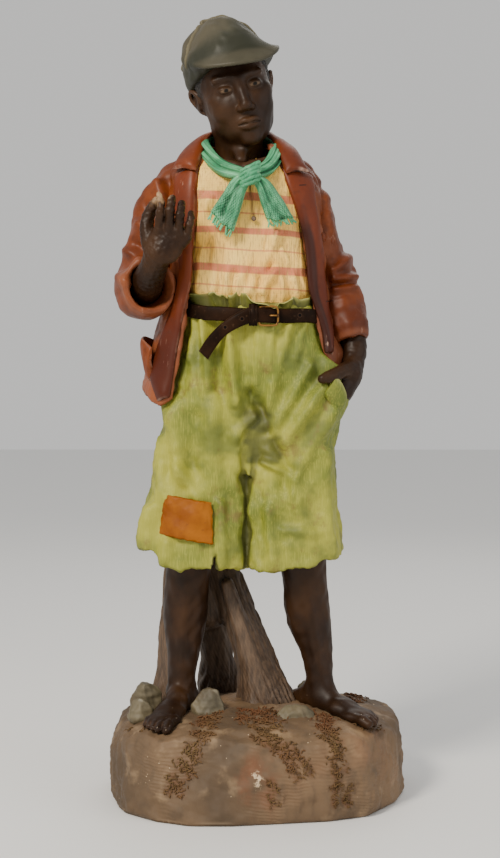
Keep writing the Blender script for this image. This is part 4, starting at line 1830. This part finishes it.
def makeMound(paint):
    # Its grid is in hundredths of a metre, so that the numbers stay near those of the figure
    perMetre = 100.0
    clay = Clay((-18.0, -15.4, -0.6), (18.0, 15.4, 11.2), 0.28)
    cut, x, y, z = clay.window()
    outline = np.array(mound["outline"]) * (mound["width"] * perMetre, mound["depth"] * perMetre)
    ring, at = np.vstack([outline, outline[:1]]), np.linspace(0, len(outline), 721)[:-1]
    outline = np.column_stack([np.interp(at, np.arange(len(ring)), ring[:, i]) for i in range(2)])
    turn = np.degrees(np.arctan2(outline[:, 0], -outline[:, 1]))
    order = np.argsort(turn)
    radius = np.hypot(outline[:, 0], outline[:, 1])[order]
    turn = turn[order]
    dy = y - mound["setBack"] * perMetre
    angle = np.degrees(np.arctan2(x, -dy))
    edge = np.interp(angle.ravel(), turn, radius, period=360).reshape(angle.shape)
    away = np.sqrt(x * x + dy * dy)
    tall = mound["tall"]
    profile = np.array(mound["profile"])
    top = tall * np.interp(
        (away / edge).ravel(), profile[::-1, 1][:-1], profile[::-1, 0][:-1]
    ).reshape(angle.shape)
    spread = np.interp((z / tall).ravel(), profile[:6, 0], profile[:6, 1]).reshape(1, 1, -1)
    side = away - edge * np.maximum(spread, 0.8)
    clay.merge(cut, np.maximum(-softMin(-side, -(z - top) * 0.92, 1.2), -z))
    rng = np.random.default_rng(17)
    for _ in range(mound["cuts"]):
        heading, faceTurn, foot, lean = (
            rng.uniform(*span) for span in ((0, 360), (-5, 5), (1.0, 8.8), (0.2, 1.0))
        )
        # The walls stay steep, and only the cuts near the rim lean far back
        tilt = 0.03 + lean * 0.9 * ((foot - 1.0) / 7.8) ** 1.4
        faces = math.radians(heading + faceTurn)
        reach = np.interp(heading, turn, radius, period=360)
        n = np.array((math.sin(faces) * math.cos(tilt), -math.cos(faces) * math.cos(tilt), math.sin(tilt)))
        at = np.array(
            (math.sin(math.radians(heading)) * reach, -math.cos(math.radians(heading)) * reach, foot)
        )
        plane = beyond((x, dy, z), at, n) + rng.uniform(-0.1, 0.5)
        clay.merge(cut, -plane, 0.05, carve=True)
    clay.merge(cut, np.broadcast_to(z, clay.field.shape), 0.0, carve=True)

    def relief(points):
        calm = eased(points[:, 2], 0.1, 0.8)
        return calm * (
            0.12 * cloud(points, 2.8, 111) + 0.06 * cloud(points, 1.0, 112) + 0.03
            * cloud(points, 0.45, 113)
        )

    points, faces, normals, marks = clay.skin(0.8)
    points = points + normals * relief(points)[:, None]
    points[:, 2] = np.maximum(points[:, 2], 0)
    points = points / perMetre
    marks["tuft"] = tuftShare(points)
    return makePiece("mound", points, faces, paint, marks, inMetres=True)


tufts = {
    # Streaks of curled grass, as seen from the front or the back: (x, z) points and a width, in metres
    "front": [
        ([(-0.044, 0.112), (-0.060, 0.088), (-0.072, 0.070), (-0.088, 0.030)], 0.0105),
        ([(-0.002, 0.104), (0.012, 0.086), (0.030, 0.072), (0.046, 0.056)], 0.0125),
        ([(0.066, 0.106), (0.080, 0.082), (0.086, 0.056), (0.089, 0.022)], 0.0105),
        ([(0.014, 0.046), (0.018, 0.024)], 0.007), ([(-0.150, 0.092), (-0.128, 0.102)], 0.012),
        ([(0.104, 0.100), (0.135, 0.088)], 0.008), ([(-0.018, 0.100), (0.028, 0.100)], 0.005),
    ],
    "back": [
        ([(-0.10, 0.104), (-0.09, 0.060), (-0.11, 0.025)], 0.010),
        ([(0.01, 0.104), (0.03, 0.070), (0.02, 0.036)], 0.010),
        ([(0.11, 0.100), (0.12, 0.060)], 0.010),
    ],
    "density": 240000.0, "size": 0.0022, "seed": 4,
}


def tuftShare(points):
    total = np.zeros(len(points))
    for side, sign in (("front", -1), ("back", 1)):
        for rows, width in tufts[side]:
            best = np.full(len(points), 1e3)
            for (ax, az), (bx, bz) in zip(rows, rows[1:]):
                run = np.array((bx - ax, bz - az))
                t = np.clip(((points[:, 0] - ax) * run[0] + (points[:, 2] - az) * run[1]) / (run @ run), 0, 1)
                best = np.minimum(
                    best, np.hypot(points[:, 0] - ax - t * run[0], points[:, 2] - az - t * run[1])
                )
            near = np.exp(-((best / width) ** 2)) * eased(points[:, 1] * sign, 0.02, 0.05)
            total = np.maximum(total, near)
    patchy = 0.7 + 0.55 * cloud(points * 100, 1.3, 121)
    return np.clip(total * patchy, 0, 1) * eased(points[:, 2], 0.004, 0.012)


def curlTree():
    # Small curls of grass over a surface, thick where its "tuft" mark is high
    sockets = {"Density": "Float", "Size": "Float", "Seed": "Int", "Paint": "Material"}
    tree, add, given = startTree("grassCurls", sockets)
    mark = add("GeometryNodeInputNamedAttribute", {"Name": "tuft"}, {"data_type": "FLOAT"})
    thick = add("ShaderNodeMath", {0: mark.outputs[0], 1: 0.18}, {"operation": "SUBTRACT"})
    dense = add("ShaderNodeMath", {0: thick.outputs[0], 1: given["Density"]}, {"operation": "MULTIPLY"})
    kept = add("ShaderNodeMath", {0: dense.outputs[0], 1: 0.0}, {"operation": "MAXIMUM"})
    spread = add(
        "GeometryNodeDistributePointsOnFaces",
        {"Mesh": given["Geometry"], "Density": kept.outputs[0], "Seed": given["Seed"]},
        {"distribute_method": "RANDOM"}
    )
    arc = add(
        "GeometryNodeCurveArc", {"Resolution": 4, "Radius": 1.0, "Start Angle": 0.3, "Sweep Angle": 3.6},
        {"mode": "RADIUS"}
    )
    ring = add("GeometryNodeCurvePrimitiveCircle", {"Resolution": 4, "Radius": 0.32}, {"mode": "RADIUS"})
    curl = add(
        "GeometryNodeCurveToMesh",
        {"Curve": arc.outputs[0], "Profile Curve": ring.outputs[0], "Fill Caps": True}
    )
    size = add(
        "FunctionNodeRandomValue", {"Min": 0.55, "Max": 1.15, "Seed": given["Seed"]}, {"data_type": "FLOAT"}
    )
    scale = add("ShaderNodeMath", {0: size.outputs["Value"], 1: given["Size"]}, {"operation": "MULTIPLY"})
    placed = add(
        "GeometryNodeInstanceOnPoints",
        {
            "Points": spread.outputs["Points"], "Instance": curl.outputs[0],
            "Rotation": spread.outputs["Rotation"], "Scale": scale.outputs[0]
        }
    )
    spin = add(
        "FunctionNodeRandomValue", {0: (0.3, -0.5, 0.0), 1: (1.5, 0.5, 6.28), "Seed": given["Seed"]},
        {"data_type": "FLOAT_VECTOR"}
    )
    spun = add("GeometryNodeRotateInstances", {"Instances": placed.outputs[0], "Rotation": spin.outputs[0]})
    real = add("GeometryNodeRealizeInstances", {"Geometry": spun.outputs[0]})
    painted = add("GeometryNodeSetMaterial", {"Geometry": real.outputs[0], "Material": given["Paint"]})
    add("NodeGroupOutput", {"Geometry": painted.outputs[0]})
    return tree


def makeTufts(moundPiece, paint):
    carrier = addPiece("carrier", moundPiece.data.copy())
    values = {"Density": tufts["density"], "Size": tufts["size"], "Seed": tufts["seed"], "Paint": paint}
    return runTree("grass_tufts", carrier, curlTree(), values)


def makeStudio():
    camera = addPiece("camera", bpy.data.cameras.new("camera"))
    camera.data.lens = 1623.6 / 858 * 36
    camera.data.sensor_width = 36
    camera.location = (0, -1.8, 0.50)
    aim = Vector((-0.0083, 0, 0.4075))
    camera.rotation_euler = (aim - camera.location).to_track_quat("-Z", "Y").to_euler()
    bpy.context.scene.camera = camera
    for name, place, size, power, colour in (
        ("keyLight", (-1.15, -1.6, 1.9), 0.6, 66, (1.0, 0.92, 0.8)),
        ("fillLight", (1.7, -1.0, 0.9), 1.4, 9, (1.0, 0.98, 0.95)),
        ("backLight", (0.4, 1.7, 1.6), 1.2, 7, (1, 0.96, 0.9)),
    ):
        light = addPiece(name, bpy.data.lights.new(name, "AREA"))
        light.data.energy, light.data.size, light.data.color = power, size, colour
        light.location = place
        light.rotation_euler = (Vector((0, 0, 0.42)) - light.location).to_track_quat("-Z", "Y").to_euler()
    world = bpy.data.worlds.new("studio")
    bpy.context.scene.world = world
    world.use_nodes = True
    world.node_tree.nodes["Background"].inputs["Color"].default_value = (0.98, 0.97, 0.95, 1)
    world.node_tree.nodes["Background"].inputs["Strength"].default_value = 0.7
    floorPaint = Paint("paleFloor")
    floorPaint.finish((0.8, 0.8, 0.79), 0.7)
    mesh = bpy.data.meshes.new("floor")
    mesh.from_pydata([(-6, -6, 0), (6, -6, 0), (6, 6, 0), (-6, 6, 0)], [], [(0, 1, 2, 3)])
    mesh.materials.append(floorPaint.material)
    floor = addPiece("floor", mesh)


makeStudio()
pieces = []
skinPaint, jacketPaint, scarfPaint = paintSkin(), paintJacket(), paintScarf()
woodPaint, stonePaint, moundPaint = paintWood(), paintStone(), paintMound()
pieces.append(makeMound(moundPaint))
pieces.append(makeTufts(pieces[0], paintGrass()))
report("mound and grass")
pieces.append(makeStump(woodPaint))
pieces += makeStones(stonePaint)
report("stump and stones")
pieces += makeLegs(skinPaint)
report("legs and feet")
trouserPaint = paintTrousers()
pieces.append(makeTrousers(trouserPaint))
pieces += [makePatch(), makePocketLip(trouserPaint)]
pieces.append(makeFrill(paintTrousers("frillCloth", 0.42)))
report("trousers")
shirtPaint = paintShirt()
pieces += [makeShirt(shirtPaint), makeShirtButton(woodPaint)]
pieces += [makeBelt(), makeBuckle()]
report("shirt and belt")
pieces += makeJacket(jacketPaint)
pieces.append(makeCollar(jacketPaint))
report("jacket")
pieces += [makeRaisedHand(skinPaint), makePocketHand(skinPaint)]
report("hands")
pieces += makeScarf(scarfPaint)
pieces += makeFringe(scarfPaint)
report("scarf")
pieces += [makeHead(skinPaint), makeChest(skinPaint), makeHair(), makeCap()]
report("head and cap")

for piece in pieces:
    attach(piece, "root")
    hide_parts("boy_figurine")
count = sum(len(face.vertices) - 2 for piece in pieces for face in piece.data.polygons)
report(f"{len(pieces)} pieces, {count} triangles")
